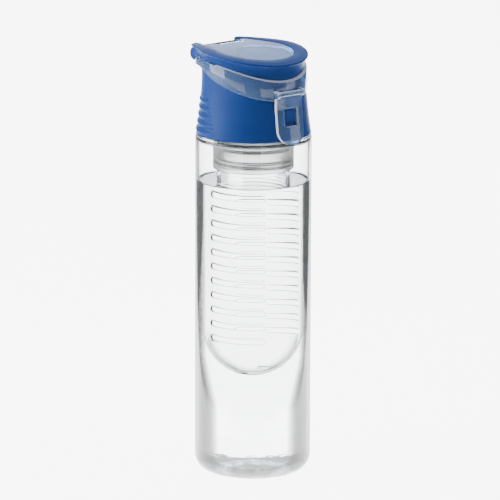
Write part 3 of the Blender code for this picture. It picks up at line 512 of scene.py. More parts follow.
def strip(work: bmesh.types.BMesh, low: Sequence, high: Sequence, holes: Container[int] = ()) -> None:
    """Lay the faces between two closed rings of corners.

    Args:
        work: the mesh under construction.
        low: the first ring; a ring of one corner is a pole.
        high: the second ring.
        holes: places along the rings that stay open.
    """
    count = max(len(low), len(high))
    for i in range(count):
        j = (i + 1) % count
        corners = dict.fromkeys(ring[k % len(ring)] for ring, k in ((low, i), (low, j), (high, j), (high, i)))
        if i not in holes and len(corners) > 2:
            work.faces.new(list(corners))


def skin(name: str, rings: Sequence[Ring], join_ends: bool = False, sharp: float = SHARP) -> Mesh:
    """Skin closed rings of points.

    Args:
        name: the mesh's name.
        rings: rings of equal length; a ring of one point is a pole.
        join_ends: whether the last ring joins the first.
        sharp: edges past this angle in degrees stay sharp.

    Returns:
        The skinned mesh, with flat ends where a first or last ring is left open.
    """
    work = bmesh.new()
    made = [[work.verts.new(p) for p in ring] for ring in rings]
    for low, high in zip(made, made[1:] + made[:1] if join_ends else made[1:]):
        strip(work, low, high)
    if not join_ends:
        for ring in (made[0], made[-1]):
            if len(ring) > 2:
                work.faces.new(ring)
    return closed_mesh(name, work, sharp)


def level_rings(profile: Profile, segments: int, offset: Pair = (0.0, 0.0), phase: float = 0.0) -> list[Ring]:
    """Level rings through a (radius, height) profile.

    Args:
        profile: the profile.
        segments: number of steps round the axis.
        offset: where the axis stands.
        phase: turn of the first point, in steps.

    Returns:
        One ring for each of the profile's points.
    """
    return [[(offset[0] + x, offset[1] + y, z) for x, y in circle(r, segments, phase)] for r, z in profile]


def turned(name: str, profile: Profile, segments: int = 192, offset: Pair = (0.0, 0.0),
           phase: float = 0.0) -> Mesh:
    """Turn a (radius, height) profile about Z.

    Args:
        name: the mesh's name.
        profile: the profile; it is closed onto itself unless both its ends are on the axis.
        segments: number of steps round the axis.
        offset: where the axis stands.
        phase: turn of the first point, in steps.

    Returns:
        The turned mesh.
    """
    on_axis = profile[0][0] <= 0 and profile[-1][0] <= 0
    return skin(name, level_rings(profile, segments, offset, phase), join_ends=not on_axis)


def bar(name: str, radius: float, span: Pair, middle: Pair, edge: float = 0.0, segments: int = 64) -> Mesh:
    """A round bar along X with eased ends.

    Args:
        name: the mesh's name.
        radius: radius of the bar.
        span: its first and last place along X.
        middle: its place along Y and its height.
        edge: rounding of the ends.
        segments: number of steps round the bar.

    Returns:
        The bar's mesh.
    """
    start, end = span
    shape = eased([(0, start, 0), (radius, start, edge), (radius, end, edge), (0, end, 0)], closed=False)
    rings = [[(x, middle[0] + y, middle[1] + z) for y, z in circle(r, segments, 0.5)] for r, x in shape]
    return skin(name, rings)


def prism(name: str, outline: Profile, low: float, high: float, along: str = "X") -> Mesh:
    """Extrude an outline along X or Y.

    Args:
        name: the mesh's name.
        outline: (y, z) points for X, or (x, z) points for Y.
        low: first place along the axis.
        high: last place along it.
        along: the axis, X or Y.

    Returns:
        The prism's mesh.
    """
    return skin(name, [[(w, a, b) if along == "X" else (a, w, b) for a, b in outline] for w in (low, high)])


def loose(data: ID, name: str = "") -> Object:
    """Put a mesh, light or camera in the scene as an object of its own."""
    made = bpy.data.objects.new(name or data.name, data)
    bpy.context.scene.collection.objects.link(made)
    return made


def drop(item: Object) -> Mesh:
    """Remove an object and keep its mesh."""
    mesh = item.data
    bpy.data.objects.remove(item, do_unlink=True)
    return mesh


def apply_all(item: Object) -> None:
    """Turn an object's modifiers into plain mesh."""
    depsgraph = bpy.context.evaluated_depsgraph_get()
    mesh = bpy.data.meshes.new_from_object(item.evaluated_get(depsgraph), depsgraph=depsgraph)
    item.modifiers.clear()
    item.data = mesh


def combine(item: Object, operation: str, *tools: Mesh) -> None:
    """Unite, cut or intersect an object with tools, one after the other.

    Args:
        item: the object.
        operation: UNION, DIFFERENCE or INTERSECT.
        tools: the other meshes.
    """
    for tool in map(loose, tools):
        step = item.modifiers.new("Combine", "BOOLEAN")
        step.operation = operation
        step.solver = "EXACT"
        step.object = tool
        apply_all(item)
        drop(tool)


def soften(item: Object, width: float, segments: int = 3, angle: float = 40.0) -> None:
    """Round the sharp edges of an object.

    Args:
        item: the object.
        width: width of the rounding.
        segments: number of chords of the rounding.
        angle: edges past this angle in degrees are rounded.
    """
    work = bmesh.new()
    work.from_mesh(item.data)
    bmesh.ops.remove_doubles(work, verts=work.verts, dist=0.01 * MM)
    bmesh.ops.dissolve_degenerate(work, edges=work.edges, dist=0.01 * MM)
    work.to_mesh(item.data)
    work.free()
    step = item.modifiers.new("Soften", "BEVEL")
    step.width = width * MM
    step.segments = segments
    step.limit_method = "ANGLE"
    step.angle_limit = radians(angle)
    step.use_clamp_overlap = True
    apply_all(item)
    shade(item.data)


def soft_prism(name: str, outline: Profile, half: float, width: float) -> Mesh:
    """A prism across the middle plane with rounded edges.

    Args:
        name: the mesh's name.
        outline: (y, z) points.
        half: half its length along X.
        width: width of the rounding.

    Returns:
        The mesh.
    """
    item = loose(prism(name, outline, -half, half))
    soften(item, width)
    return drop(item)


def merged(name: str, *meshes: Mesh) -> Mesh:
    """Gather several closed meshes in one."""
    work = bmesh.new()
    for mesh in meshes:
        work.from_mesh(mesh)
    return stored(name, work)


def mark_painted_edges(mesh: Mesh, test: Callable[[Vector, Vector], bool]) -> Mesh:
    """Mark the faces that the finish paints with its cut colour: painted edge highlights on the lid and clip,
    painted edge shade on the basket.

    Args:
        mesh: the mesh in metres.
        test: tells from a face's middle and normal whether it is such a face.

    Returns:
        The same mesh.
    """
    marks = mesh.attributes.new(PAINTED_EDGE, "FLOAT", "FACE")
    for face in mesh.polygons:
        marks.data[face.index].value = float(test(face.center, face.normal))
    return mesh


def install(name: str, mesh: Mesh, finish: Finish, body: str, nodes: Sequence[str] = ()) -> None:
    """Make a finished piece of a mesh and hang it on its body.

    Args:
        name: the piece's name.
        mesh: its mesh in metres.
        finish: its finish.
        body: the CAD body that it moves with.
        nodes: CAD nodes that it stands for.
    """
    mesh.name = name
    mesh.materials.clear()
    mesh.materials.append(finish_material(finish))
    for face in mesh.polygons:
        face.material_index = 0
    item = loose(mesh, name)
    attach(item, body)
    if nodes:
        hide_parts(*nodes)
    LOG.info("%s: %d faces on body %s", name, len(mesh.polygons), body)


def dress_node(node: str, finish: Finish) -> None:
    """Give a CAD node that stays its finish.

    Args:
        node: the node's name.
        finish: the finish.
    """
    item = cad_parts[node]
    if not item.material_slots:
        item.data.materials.append(None)
    for place in item.material_slots:
        place.material = finish_material(finish)
    LOG.info("%s keeps its CAD shape", node)


# Geometry trees.

SPOT = (("here", "GeometryNodeInputPosition", {}), ("spot", SPLIT, {0: "here"}))
ROUND = (("cos", "COSINE", "angle"), ("sin", "SINE", "angle"), ("x", "MULTIPLY", "radius", "cos"),
         ("y", "MULTIPLY", "radius", "sin"))


def geometry_tree(name: str, inputs: dict[str, Sequence[str]], rows: Iterable[Row], last: str) -> NodeTree:
    """Make a geometry tree with named inputs that ends in Realize Instances and Set Material.

    Args:
        name: the tree's name.
        inputs: the names of its inputs by socket type.
        rows: what add_node needs for each node; the inputs are the outputs of the node given.
        last: the node whose geometry it ends with.

    Returns:
        The tree.
    """
    tree = bpy.data.node_groups.new(name, "GeometryNodeTree")
    for kind, labels in ({"Geometry": ("Geometry",)} | inputs | {"Material": ("Finish",)}).items():
        for label in labels:
            tree.interface.new_socket(label, in_out="INPUT", socket_type=f"NodeSocket{kind}")
    tree.interface.new_socket("Geometry", in_out="OUTPUT", socket_type="NodeSocketGeometry")
    for row in (
        ("given", "NodeGroupInput", {}), *rows,
        ("smooth", "GeometryNodeSetShadeSmooth", {"Geometry": last}),
        ("real", REALIZE, {"Geometry": "smooth"}),
        ("dressed", "GeometryNodeSetMaterial", {"Geometry": "real", "Material": "given.Finish"}),
        ("end", "NodeGroupOutput", {0: "dressed"}),
    ):
        add_node(tree, *row)
    return tree


def grown(name: str, tree: NodeTree, finish: Finish, values: dict, base: Mesh | None = None) -> Mesh:
    """Run a geometry tree and keep the plain mesh that it makes.

    Args:
        name: the mesh's name.
        tree: the tree.
        finish: the finish that it sets.
        values: value for each of the tree's other inputs.
        base: the mesh that the tree starts from, if it needs one.

    Returns:
        The plain mesh.
    """
    host = loose(base or bpy.data.meshes.new(name))
    step = host.modifiers.new("Grow", "NODES")
    step.node_group = tree
    values = values | {"Finish": finish_material(finish)}
    for socket in tree.interface.items_tree:
        if socket.item_type == "SOCKET" and socket.in_out == "INPUT" and socket.name in values:
            step[socket.identifier] = values[socket.name]
    apply_all(host)
    return drop(host)


def thread_tree() -> NodeTree:
    """A tree that winds a round ridge up a neck.

    Returns:
        The tree, with inputs for the thread's sizes.
    """
    return geometry_tree("Thread Ridge", {"Float": ("Radius", "Start Height", "Pitch", "Turns", "Ridge")}, [
        *chain(MATH, ("rise", "MULTIPLY", "given.Pitch", "given.Turns")),
        ("coil", "GeometryNodeCurveSpiral", {
            "Resolution": 96, "Rotations": "given.Turns", "Start Radius": "given.Radius",
            "End Radius": "given.Radius", "Height": "rise"}),
        ("lift", JOIN, {"Z": "given.Start Height"}),
        ("moved", MOVE, {"Geometry": "coil", "Translation": "lift"}),
        ("section", "GeometryNodeCurvePrimitiveCircle", {"Resolution": 12, "Radius": "given.Ridge"}),
        ("body", SWEEP, {"Curve": "moved", "Profile Curve": "section", "Fill Caps": True}),
    ], "body")


def ridge(finish: Finish, radius: float, start: float, pitch: float, turns: float, size: float) -> Mesh:
    """A thread's ridge.

    Args:
        finish: its finish.
        radius: radius of its middle line.
        start: height of its lower end.
        pitch: rise of one turn.
        turns: number of turns.
        size: radius of its section.

    Returns:
        The ridge's mesh.
    """
    return grown("ridge", thread_tree(), finish, {
        "Radius": radius * MM, "Start Height": start * MM, "Pitch": pitch * MM, "Turns": turns,
        "Ridge": size * MM})


def rib_tree(rises: Sequence[float], insets: Sequence[float]) -> NodeTree:
    """A tree that lays grip ribs round the rear of the cap.

    Args:
        rises: shares of the flare's height at which its radius is known.
        insets: how far in the wall stands there, as shares of the flare.

    Returns:
        The tree, with inputs for the ribs' and the flare's sizes.
    """
    tree = geometry_tree("Grip Ribs", {"Int": ("Count",), "Float": (
        "First Height", "Pitch", "Low Reach", "High Reach", "Bottom", "Bottom Radius", "Flare",
        "Flare Height", "Ridge", "Proud", "Tallness",
    )}, [
        ("line", "GeometryNodeCurvePrimitiveLine", {"Start": (-1, 0, 0), "End": (1, 0, 0)}),
        ("fine", "GeometryNodeResampleCurve", {"Curve": "line", "Count": 97}),
        ("rows", "GeometryNodeDuplicateElements", {"Geometry": "fine", "Amount": "given.Count"},
         {"domain": "SPLINE"}),
        *SPOT,
        *chain(
            MATH, ("height", "MULTIPLY_ADD", "rows.Duplicate Index", "given.Pitch", "given.First Height"),
            ("last", "SUBTRACT", "given.Count", 1.0), ("share", "DIVIDE", "rows.Duplicate Index", "last"),
            ("spread", "SUBTRACT", "given.High Reach", "given.Low Reach"),
            ("reach", "MULTIPLY_ADD", "share", "spread", "given.Low Reach"),
            ("angle", "MULTIPLY_ADD", "spot.X", "reach", pi / 2),
            ("above", "SUBTRACT", "height", "given.Bottom"),
            ("risen", "DIVIDE", "above", "given.Flare Height")),
        ("inset", "ShaderNodeFloatCurve", {"Value": "risen"}),
        *chain(
            MATH, ("in", "MULTIPLY", "inset", "given.Flare"),
            ("wall", "SUBTRACT", "given.Bottom Radius", "in"),
            ("sunk", "SUBTRACT", "given.Ridge", "given.Proud"), ("middle", "SUBTRACT", "wall", "sunk"),
            ("out", "ABSOLUTE", "spot.X"), ("ends", "POWER", "out", 40.0),
            ("dip", "MULTIPLY", "ends", "given.Proud"), ("radius", "SUBTRACT", "middle", "dip"), *ROUND),
        ("target", JOIN, {"X": "x", "Y": "y", "Z": "height"}),
        ("bent", "GeometryNodeSetPosition", {"Geometry": "rows", "Position": "target"}),
        ("upright", "GeometryNodeSetCurveNormal", {"Curve": "bent"}, {"mode": "Z_UP"}),
        ("section", "GeometryNodeCurvePrimitiveCircle", {"Resolution": 20, "Radius": "given.Ridge"}),
        ("stretch", JOIN, {"X": 1.0, "Y": "given.Tallness", "Z": 1.0}),
        ("tall", MOVE, {"Geometry": "section", "Scale": "stretch"}),
        ("body", SWEEP, {"Curve": "upright", "Profile Curve": "tall", "Fill Caps": True}),
    ], "body")
    mapping = tree.nodes["inset"].mapping
    points = mapping.curves[0].points
    while len(points) < len(rises):
        points.new(0.5, 0.5)
    for place, rise, inset in zip(points, rises, insets):
        place.location = (rise, inset)
    mapping.update()
    return tree


def slot_wall_tree() -> NodeTree:
    """A tree that repeats one slotted tile in rows and columns and wraps them round the basket.

    Returns:
        The tree, with inputs for the basket's sizes.
    """
    return geometry_tree("Slotted Wall", {
        "Int": ("Columns", "Rows"),
        "Float": ("Row Pitch", "Top Row", "Radius", "Turn", "Dome Top", "Dome Depth", "Weld"),
    }, [
        *SPOT,
        *chain(
            MATH, ("girth", "MULTIPLY", "given.Radius", tau), ("width", "DIVIDE", "girth", "given.Columns"),
            ("fall", "MULTIPLY", "given.Row Pitch", -1.0), ("way", "DIVIDE", "spot.X", "given.Radius"),
            ("angle", "ADD", "way", "given.Turn"), ("under", "SUBTRACT", "given.Dome Top", "spot.Z"),
            ("below", "MAXIMUM", "under", 0.0), ("depth", "DIVIDE", "below", "given.Dome Depth"),
            ("square", "MULTIPLY", "depth", "depth"), ("rest", "SUBTRACT", 1.0, "square"),
            ("narrow", "SQRT", "rest"),
            ("radius", "MULTIPLY_ADD", "given.Radius", "narrow", "spot.Y"), *ROUND),
        ("side_step", JOIN, {"X": "width"}),
        ("across", MESH_LINE, {"Count": "given.Columns", "Offset": "side_step"}, OFFSET),
        ("down_step", JOIN, {"Z": "fall"}),
        ("start", JOIN, {"Z": "given.Top Row"}),
        ("down", MESH_LINE, {
            "Count": "given.Rows", "Start Location": "start", "Offset": "down_step"}, OFFSET),
        ("row", ON_POINTS, {"Points": "across", "Instance": "given.Geometry"}),
        ("rows", ON_POINTS, {"Points": "down", "Instance": "row"}),
        ("tiles", REALIZE, {"Geometry": "rows"}),
        ("target", JOIN, {"X": "x", "Y": "y", "Z": "spot.Z"}),
        ("bent", "GeometryNodeSetPosition", {"Geometry": "tiles", "Position": "target"}),
        ("welded", "GeometryNodeMergeByDistance", {"Geometry": "bent", "Distance": "given.Weld"}),
    ], "welded")


# Rules that several pieces share.

@dataclass(frozen=True)
class Lines:
    """Heights, radii and axes that cap, lid and clip share."""

    cap_bottom: float = 208.4
    cap_bottom_radius: float = 34.7
    flare: float = 3.5
    flare_height: float = 33.6
    rises: tuple[float, ...] = (0.0, 0.03, 0.09, 0.27, 0.485, 0.63, 0.777, 1.0)
    insets: tuple[float, ...] = (0.0, 0.0, 0.11, 0.37, 0.60, 0.74, 0.91, 1.0)
    seam_middle: float = 244.5
    seam_slope: float = 0.38
    ease_start: float = 6.0
    ease_length: float = 12.0
    lid_crest: float = 260.4
    crest_offset: float = 20.0
    crown_radius: float = 250.0
    crown_shares: tuple[float, ...] = (0.2, 0.4, 0.6, 0.8, 0.93, 1.0)
    lid_radius: float = 32.6
    lid_rear: float = 35.4
    lid_rear_half: float = 19.495
    trim_height: float = 6.4
    trim_front_drop: float = 5.0
    trim_rear_drop: float = 1.2
    hinge: Pair = (32.9, 254.0)
    pin: Pair = (-33.6, 237.264)
    pin_bore: float = 0.85
    spout_offset: float = 9.0
    gap: float = 0.3

    def cap_radius(self, height: float) -> float:
        """Radius of the cap's outer wall at a height, eased between the flare's known places.

        Args:
            height: height above the ground.

        Returns:
            The wall's radius.
        """
        share = (height - self.cap_bottom) / self.flare_height
        inset = 1.0
        for low, high, near, far in zip(self.rises, self.rises[1:], self.insets, self.insets[1:]):
            if share <= high:
                inset = near + (far - near) * max(0.0, share - low) / (high - low)
                break
        return self.cap_bottom_radius - self.flare * inset

    def smooth_cap_radius(self, height: float) -> float:
        """The cap's radius with the flare's corners averaged out.

        Args:
            height: height above the ground.

        Returns:
            The radius.
        """
        if height <= self.cap_bottom + 2:
            return self.cap_radius(height)
        near = [self.cap_radius(height + step) for step in (-2.0, -1.0, 0.0, 1.0, 2.0)]
        return sum(near) / len(near)

    def seam(self, y: float) -> float:
        """Height of the seam between cap and lid."""
        if y <= self.ease_start:
            return self.seam_middle + self.seam_slope * y
        run = min(y - self.ease_start, self.ease_length)
        way = self.ease_start + run - run * run / (2 * self.ease_length)
        return self.seam_middle + self.seam_slope * way

    def lid_top(self, y: float) -> float:
        """Height of the lid's crowned top."""
        away = y - self.crest_offset
        return self.lid_crest - (self.crown_radius - sqrt(self.crown_radius ** 2 - away ** 2))

    def trim_bottom(self, y: float) -> float:
        """Height of the blue trim's lower edge, where the clear band starts."""
        extra = self.trim_front_drop if y < 0 else self.trim_rear_drop
        return self.lid_top(y) - self.trim_height - extra * (y / self.lid_radius) ** 2

    def half_outline(self, radius: float, rear: float, rear_half: float) -> list[Vector]:
        """Half of a lid outline, from the front middle round +X to the rear corner.

        Args:
            radius: radius of the front arc.
            rear: where the rear edge stands along Y.
            rear_half: half the rear edge's width.

        Returns:
            The points in plan.
        """
        round_steps, side_steps = 40, 10
        corner = Vector((rear_half, rear))
        reach = atan2(corner.x, corner.y) + acos(radius / corner.length)
        angles = [pi - (pi - reach) * i / round_steps for i in range(round_steps + 1)]
        made = [Vector((radius * sin(a), radius * cos(a))) for a in angles]
        last = made[-1]
        return made + [last.lerp(corner, i / side_steps) for i in range(1, side_steps + 1)]

    def outline(self, radius: float) -> list[Vector]:
        """A whole lid outline, scaled from the lid's plan to a front radius."""
        scale = radius / self.lid_radius
        return mirrored(self.half_outline(radius, self.lid_rear * scale, self.lid_rear_half * scale))


LINES = Lines()


def mirrored(half: list[Vector]) -> list[Vector]:
    """A whole outline of its half on +X, which starts on the middle plane."""
    return half + [Vector((-p.x, p.y)) for p in reversed(half[1:])]


def ring_at(outline: Iterable, height: Rule) -> Ring:
    """Lift a plan outline to a height that is a rule of Y."""
    return [(x, y, height(y)) for x, y in outline]


def crowned(outline: Sequence[Vector], height: Rule) -> list[Ring]:
    """Rings from the middle out to an outline, the first a single point, so that a face follows a crown."""
    rings = [ring_at([p * share for p in outline], height) for share in LINES.crown_shares]
    return [[(0.0, 0.0, height(0.0))], *rings]


# Sub-assemblies.

@dataclass
class Bottle:
    """The clear blow-moulded bottle and the drink in it."""

    radius: float = 35.0
    wall: float = 1.6
    shoulder: float = 207.4
    base_round: float = 10.0
    base_wall: float = 2.4
    foot: float = 7.0
    punt: float = 5.5
    neck_radius: float = 29.0
    neck_wall: float = 2.0
    neck_top: float = 225.5
    ridge_start: float = 213.0
    ridge_pitch: float = 4.0
    ridge_size: float = 1.1
    gate_radius: float = 1.5
    gate_height: float = 0.5
    water_level: float = 179.6
    meniscus: float = 1.1
    meniscus_reach: float = 2.2
    water_lap: float = 0.12

    @property
    def rim(self) -> float:
        """Radius where the base's dome starts."""
        return self.radius - self.base_round - self.foot

    def punt_arc(self, lift: float) -> Profile:
        """The domed middle of the base, from the axis out.

        Args:
            lift: how far the dome is raised, for the inner face.

        Returns:
            The dome's profile.
        """
        steps = 12
        ball = (self.rim ** 2 + self.punt ** 2) / (2 * self.punt)
        slants = [asin(self.rim / ball) * i / steps for i in range(steps + 1)]
        return [(ball * sin(slant), self.punt - ball + ball * cos(slant) + lift) for slant in slants]

    def inner_profile(self, lap: float) -> Profile:
        """The inner face of the base and wall, from the axis out and up.

        Args:
            lap: how far outside the face the profile runs.

        Returns:
            The profile up to the wall's straight part.
        """
        rim, floor = self.rim, self.base_wall
        rounding = self.base_round - self.wall
        made = self.punt_arc(floor - lap)[:-1]
        made += eased([(rim - 2, floor + 0.55, 0), (rim + 0.8, floor, 1.8), (rim + 6, floor, 0)],
                      closed=False)[1:-1]
        made = [(r, z) for r, z in made if r < rim + 3]
        centre = (self.radius - self.wall - rounding, floor + rounding)
        return made + arc(centre, rounding + lap, -90, 0, 14)

    def outer_profile(self) -> Profile:
        """The outer face, from the neck's top down to the gate mark on the axis.

        Returns:
            The profile.
        """
        rim, neck, gate = self.rim, self.neck_radius, self.gate_radius
        made = eased([
            (neck - 0.7, self.neck_top, 0), (neck, self.neck_top, 0.5), (neck, self.shoulder, 0.7),
            (self.radius, self.shoulder, 1.3), (self.radius, self.shoulder - 8, 0),
        ], closed=False, steps=6)
        made += arc((self.radius - self.base_round, self.base_round), self.base_round, 0, -90, 18)
        made += eased([(rim + 3, 0, 0), (rim, 0, 1.6), (rim - 3, 1.75, 0)], closed=False)[:-1]
        made += [p for p in reversed(self.punt_arc(0.0)) if gate + 0.4 < p[0] < rim - 3]
        high, low = self.punt - 0.02, self.punt - self.gate_height
        return made + eased([
            (gate + 0.3, high, 0), (gate, high, 0.15), (gate - 0.3, low, 0.2), (0, low, 0),
        ], closed=False)[1:]

    def body(self) -> Mesh:
        """The bottle's closed body with its thread.

        Returns:
            The mesh.
        """
        inner = self.radius - self.wall
        neck = self.neck_radius - self.neck_wall
        ceiling = self.shoulder - self.wall
        top = eased([
            (inner, self.shoulder - 9, 0), (inner, ceiling, 1.6), (neck, ceiling, 0.8),
            (neck, self.neck_top, 0.5), (neck + 0.8, self.neck_top, 0),
        ], closed=False, steps=6)
        profile: Profile = []
        for r, z in self.outer_profile() + self.inner_profile(0.0) + top:
            if not profile or abs(r - profile[-1][0]) + abs(z - profile[-1][1]) > 0.004:
                profile.append((r, z))
        return merged("bottle", turned("shell", profile), ridge(
            Finish.BODY, self.neck_radius, self.ridge_start, self.ridge_pitch, 1.0, self.ridge_size))

    def water(self) -> Mesh:
        """The drink: it laps a hair into the wall, so that no air shows between them.

        Returns:
            The mesh.
        """
        edge = self.radius - self.wall + self.water_lap
        level, rise = self.water_level, self.meniscus
        profile = self.inner_profile(self.water_lap) + [(edge, level + rise)]
        for turn in (t * pi / 2 for t in (0.15, 0.3, 0.45, 0.6, 0.75, 0.9, 1.0)):
            profile.append((edge - rise * self.meniscus_reach * (1 - cos(turn)) - 0.02,
                            level + rise * (1 - sin(turn))))
        return turned("drink", profile + [(edge * share, level) for share in (0.8, 0.5, 0.2, 0.0)])

    def build(self) -> None:
        """Build and dress the bottle and its drink."""
        install("bottle_clear", self.body(), Finish.BODY, "bottle", ["bottle_body"])
        install("drink", self.water(), Finish.WATER, "bottle")
        dress_node("neck_seal", Finish.SILICONE)


@dataclass
class Cap:
    """The blue screw cap: flared wall, ribs, bowl, spout, catch and hinge knuckle."""

    segments: int = 256
    wall_rows: int = 76
    foot_edge: float = 0.45
    rim_edge: float = 0.6
    rim_wall: float = 2.2
    bore: float = 30.8
    deck_low: float = 227.6
    deck_top: float = 229.6
    bowl_round: float = 2.5
    boss_radius: float = 22.4
    boss_bottom: float = 206.0
    boss_wall: float = 1.6
    spout_radius: float = 10.7
    spout_bore: float = 8.4
    spout_top: float = 250.2
    spout_sides: int = 96
    vent_offset: float = 12.5
    vent_radius: float = 1.9
    hole_low: float = 224.0
    hole_high: float = 234.0
    catch_low: float = 218.9
    catch_side: float = 8.6
    catch_proud: float = 1.3
    catch_slope: float = 1.4
    catch_root: float = 1.1
    knuckle_half: float = 15.195
    knuckle_radius: float = 3.0
    web_inset: float = 1.6
    web_depth: float = 6.0
    ridge_start: float = 211.0
    ridge_pitch: float = 4.0
    ridge_size: float = 1.0
    rib_count: int = 5
    rib_first: float = 211.0
    rib_pitch: float = 4.6
    rib_recess: float = 0.4
    rib_size: float = 0.95
    rib_proud: float = 0.35
    rib_tallness: float = 1.6
    rib_reach: Pair = (98.0, 84.0)

    def recess(self, angle: float, height: float) -> float:
        """How far the wall is sunk between the ribs.

        Args:
            angle: place round the axis in radians, from +X.
            height: height above the ground.

        Returns:
            The depth below the plain wall.
        """
        span = self.rib_pitch * (self.rib_count - 1)
        share = min(1.0, max(0.0, (height - self.rib_first) / span))
        reach = self.rib_reach[0] + (self.rib_reach[1] - self.rib_reach[0]) * share
        away = abs((angle - pi / 2 + pi) % tau - pi) * 180 / pi
        side = min(1.0, max(0.0, (reach - away) / 2.5))
        above = min(height - self.rib_first + 2.3, self.rib_first + span + 2.3 - height)
        return self.rib_recess * side * min(1.0, max(0.0, above / 0.7))

    def wall(self) -> Mesh:
        """The cap's wall, deck and boss as one closed body whose rim follows the seam.

        Returns:
            The mesh.
        """
        rim = LINES.cap_bottom_radius - LINES.flare
        bowl = rim - self.rim_wall
        bottom, edge, floor, low = LINES.cap_bottom, self.rim_edge, self.deck_top, self.deck_low
        first, bowl_top = bottom + self.foot_edge, floor + self.bowl_round

        def rim_ring(radius: float, height: Rule) -> Ring:
            """A ring whose height is a rule of the seam's height, less the gap."""
            return ring_at(circle(radius, self.segments), lambda y: height(LINES.seam(y) - LINES.gap))

        foot = LINES.cap_bottom_radius
        rings = level_rings([(foot - 0.5, bottom), (foot - 0.15, bottom + 0.12)], self.segments)
        for share in (row / (self.wall_rows - 1) for row in range(self.wall_rows)):
            ring = []
            for angle in (tau * i / self.segments for i in range(self.segments)):
                z = first + (LINES.seam(rim * sin(angle)) - LINES.gap - edge - first) * share
                r = LINES.smooth_cap_radius(z) - self.recess(angle, z)
                ring.append((r * cos(angle), r * sin(angle), z))
            rings.append(ring)
        turns = [(edge * (1 - cos(pi / 2 * i / 5)), edge * (1 - sin(pi / 2 * i / 5))) for i in range(6)]
        rings += [rim_ring(rim - out, lambda top, drop_by=away: top - drop_by) for out, away in turns[1:]]
        rings += [rim_ring(bowl + away, lambda top, drop_by=out: top - drop_by) for out, away in turns]
        rings += [rim_ring(bowl, lambda top, s=row / 10: (top - edge) * (1 - s) + bowl_top * s)
                  for row in range(1, 10)]
        boss = self.boss_radius
        rings += level_rings([
            *arc((bowl - self.bowl_round, bowl_top), self.bowl_round, 0, -90),
            (20.0, floor), (10.0, floor), (0.0, floor), (0.0, low), *eased([
                (boss - self.boss_wall, low, 0), (boss - self.boss_wall, self.boss_bottom, 0.3),
                (boss, self.boss_bottom, 0.3), (boss, low, 0.3), (self.bore, low, 0.8),
                (self.bore, bottom, 0.3),
            ], closed=False)], self.segments)
        return skin("cap_wall", rings, join_ends=True)

    def hole(self, radius: float, y: float, segments: int) -> Mesh:
        """A tool that cuts a round hole through the deck."""
        low, high = self.hole_low, self.hole_high
        return turned("hole", [(0, low), (radius, low), (radius, high), (0, high)], segments, (0.0, y), 0.5)

    def body(self) -> Mesh:
        """The wall with its holes, the spout, the catch, the ribs and the hinge knuckle.

        Returns:
            The mesh.
        """
        item = loose(self.wall())
        combine(item, "DIFFERENCE", self.hole(self.spout_bore + 1.1, -LINES.spout_offset, self.spout_sides),
                self.hole(self.vent_radius, self.vent_offset, 48))
        thread = ridge(Finish.BLUE, self.bore, self.ridge_start, self.ridge_pitch, 0.75, self.ridge_size)
        return merged("cap", drop(item), self.spout(), self.catch(), *self.hinge(), self.ribs(), thread)

    def spout(self) -> Mesh:
        """The drinking spout with its rounded mouth.

        Returns:
            The mesh.
        """
        out, bore, root = self.spout_radius, self.spout_bore, self.deck_low - 0.6
        return turned("spout", eased([
            (bore, self.spout_top, 0.7), (out, self.spout_top, 0.8), (out + 0.7, self.deck_top, 1.2),
            (out + 1.6, self.deck_top - 0.4, 0.2), (out + 0.9, root, 0.2), (bore, root, 0.4),
        ], steps=5), self.spout_sides, (0.0, -LINES.spout_offset), 0.5)

    def catch(self) -> Mesh:
        """The square catch on the cap's front, with eased edges.

        Returns:
            The mesh.
        """
        half, low, high = self.catch_side / 2, self.catch_low, self.catch_low + self.catch_side
        wall = -LINES.cap_radius(low + half)
        root, face = wall + self.catch_root, wall - self.catch_proud
        outline = [(root, low), (wall, low), (face, low + self.catch_slope), (face, high), (root, high)]
        return soft_prism("catch", outline, half, 0.35)

    def hinge(self) -> list[Mesh]:
        """The knuckle at the rear and the web that carries it.

        Returns:
            The two meshes.
        """
        half = self.knuckle_half - self.web_inset
        wall_middle = LINES.cap_bottom_radius - LINES.flare - self.rim_wall / 2
        front = sqrt(wall_middle ** 2 - half ** 2)
        seam = LINES.seam(LINES.lid_rear)
        y, z = LINES.hinge
        reach = self.knuckle_radius * 2 / 3
        outline = [(front, seam - self.web_depth), (wall_middle, seam - self.web_depth),
                   (y + reach, z - reach), (y - reach, z + reach), (front, seam - LINES.gap)]
        span = (-self.knuckle_half, self.knuckle_half)
        knuckle = bar("knuckle", self.knuckle_radius, span, LINES.hinge, 0.4)
        return [knuckle, soft_prism("web", outline, half, 0.4)]

    def ribs(self) -> Mesh:
        """The grip ribs round the rear half.

        Returns:
            The mesh.
        """
        low_reach, high_reach = map(radians, self.rib_reach)
        return grown("ribs", rib_tree(LINES.rises, LINES.insets), Finish.BLUE, {
            "Count": self.rib_count, "First Height": self.rib_first * MM, "Pitch": self.rib_pitch * MM,
            "Low Reach": low_reach, "High Reach": high_reach, "Bottom": LINES.cap_bottom * MM,
            "Bottom Radius": LINES.cap_bottom_radius * MM, "Flare": LINES.flare * MM,
            "Flare Height": LINES.flare_height * MM, "Ridge": self.rib_size * MM,
            "Proud": self.rib_proud * MM, "Tallness": self.rib_tallness,
        })

    def build(self) -> None:
        """Build and dress the cap and its small pieces."""
        install("cap_blue", self.body(), Finish.BLUE, "cap", ["cap_base"])
        dress_node("vent_valve", Finish.SILICONE)
        dress_node("hinge_pin", Finish.STEEL)


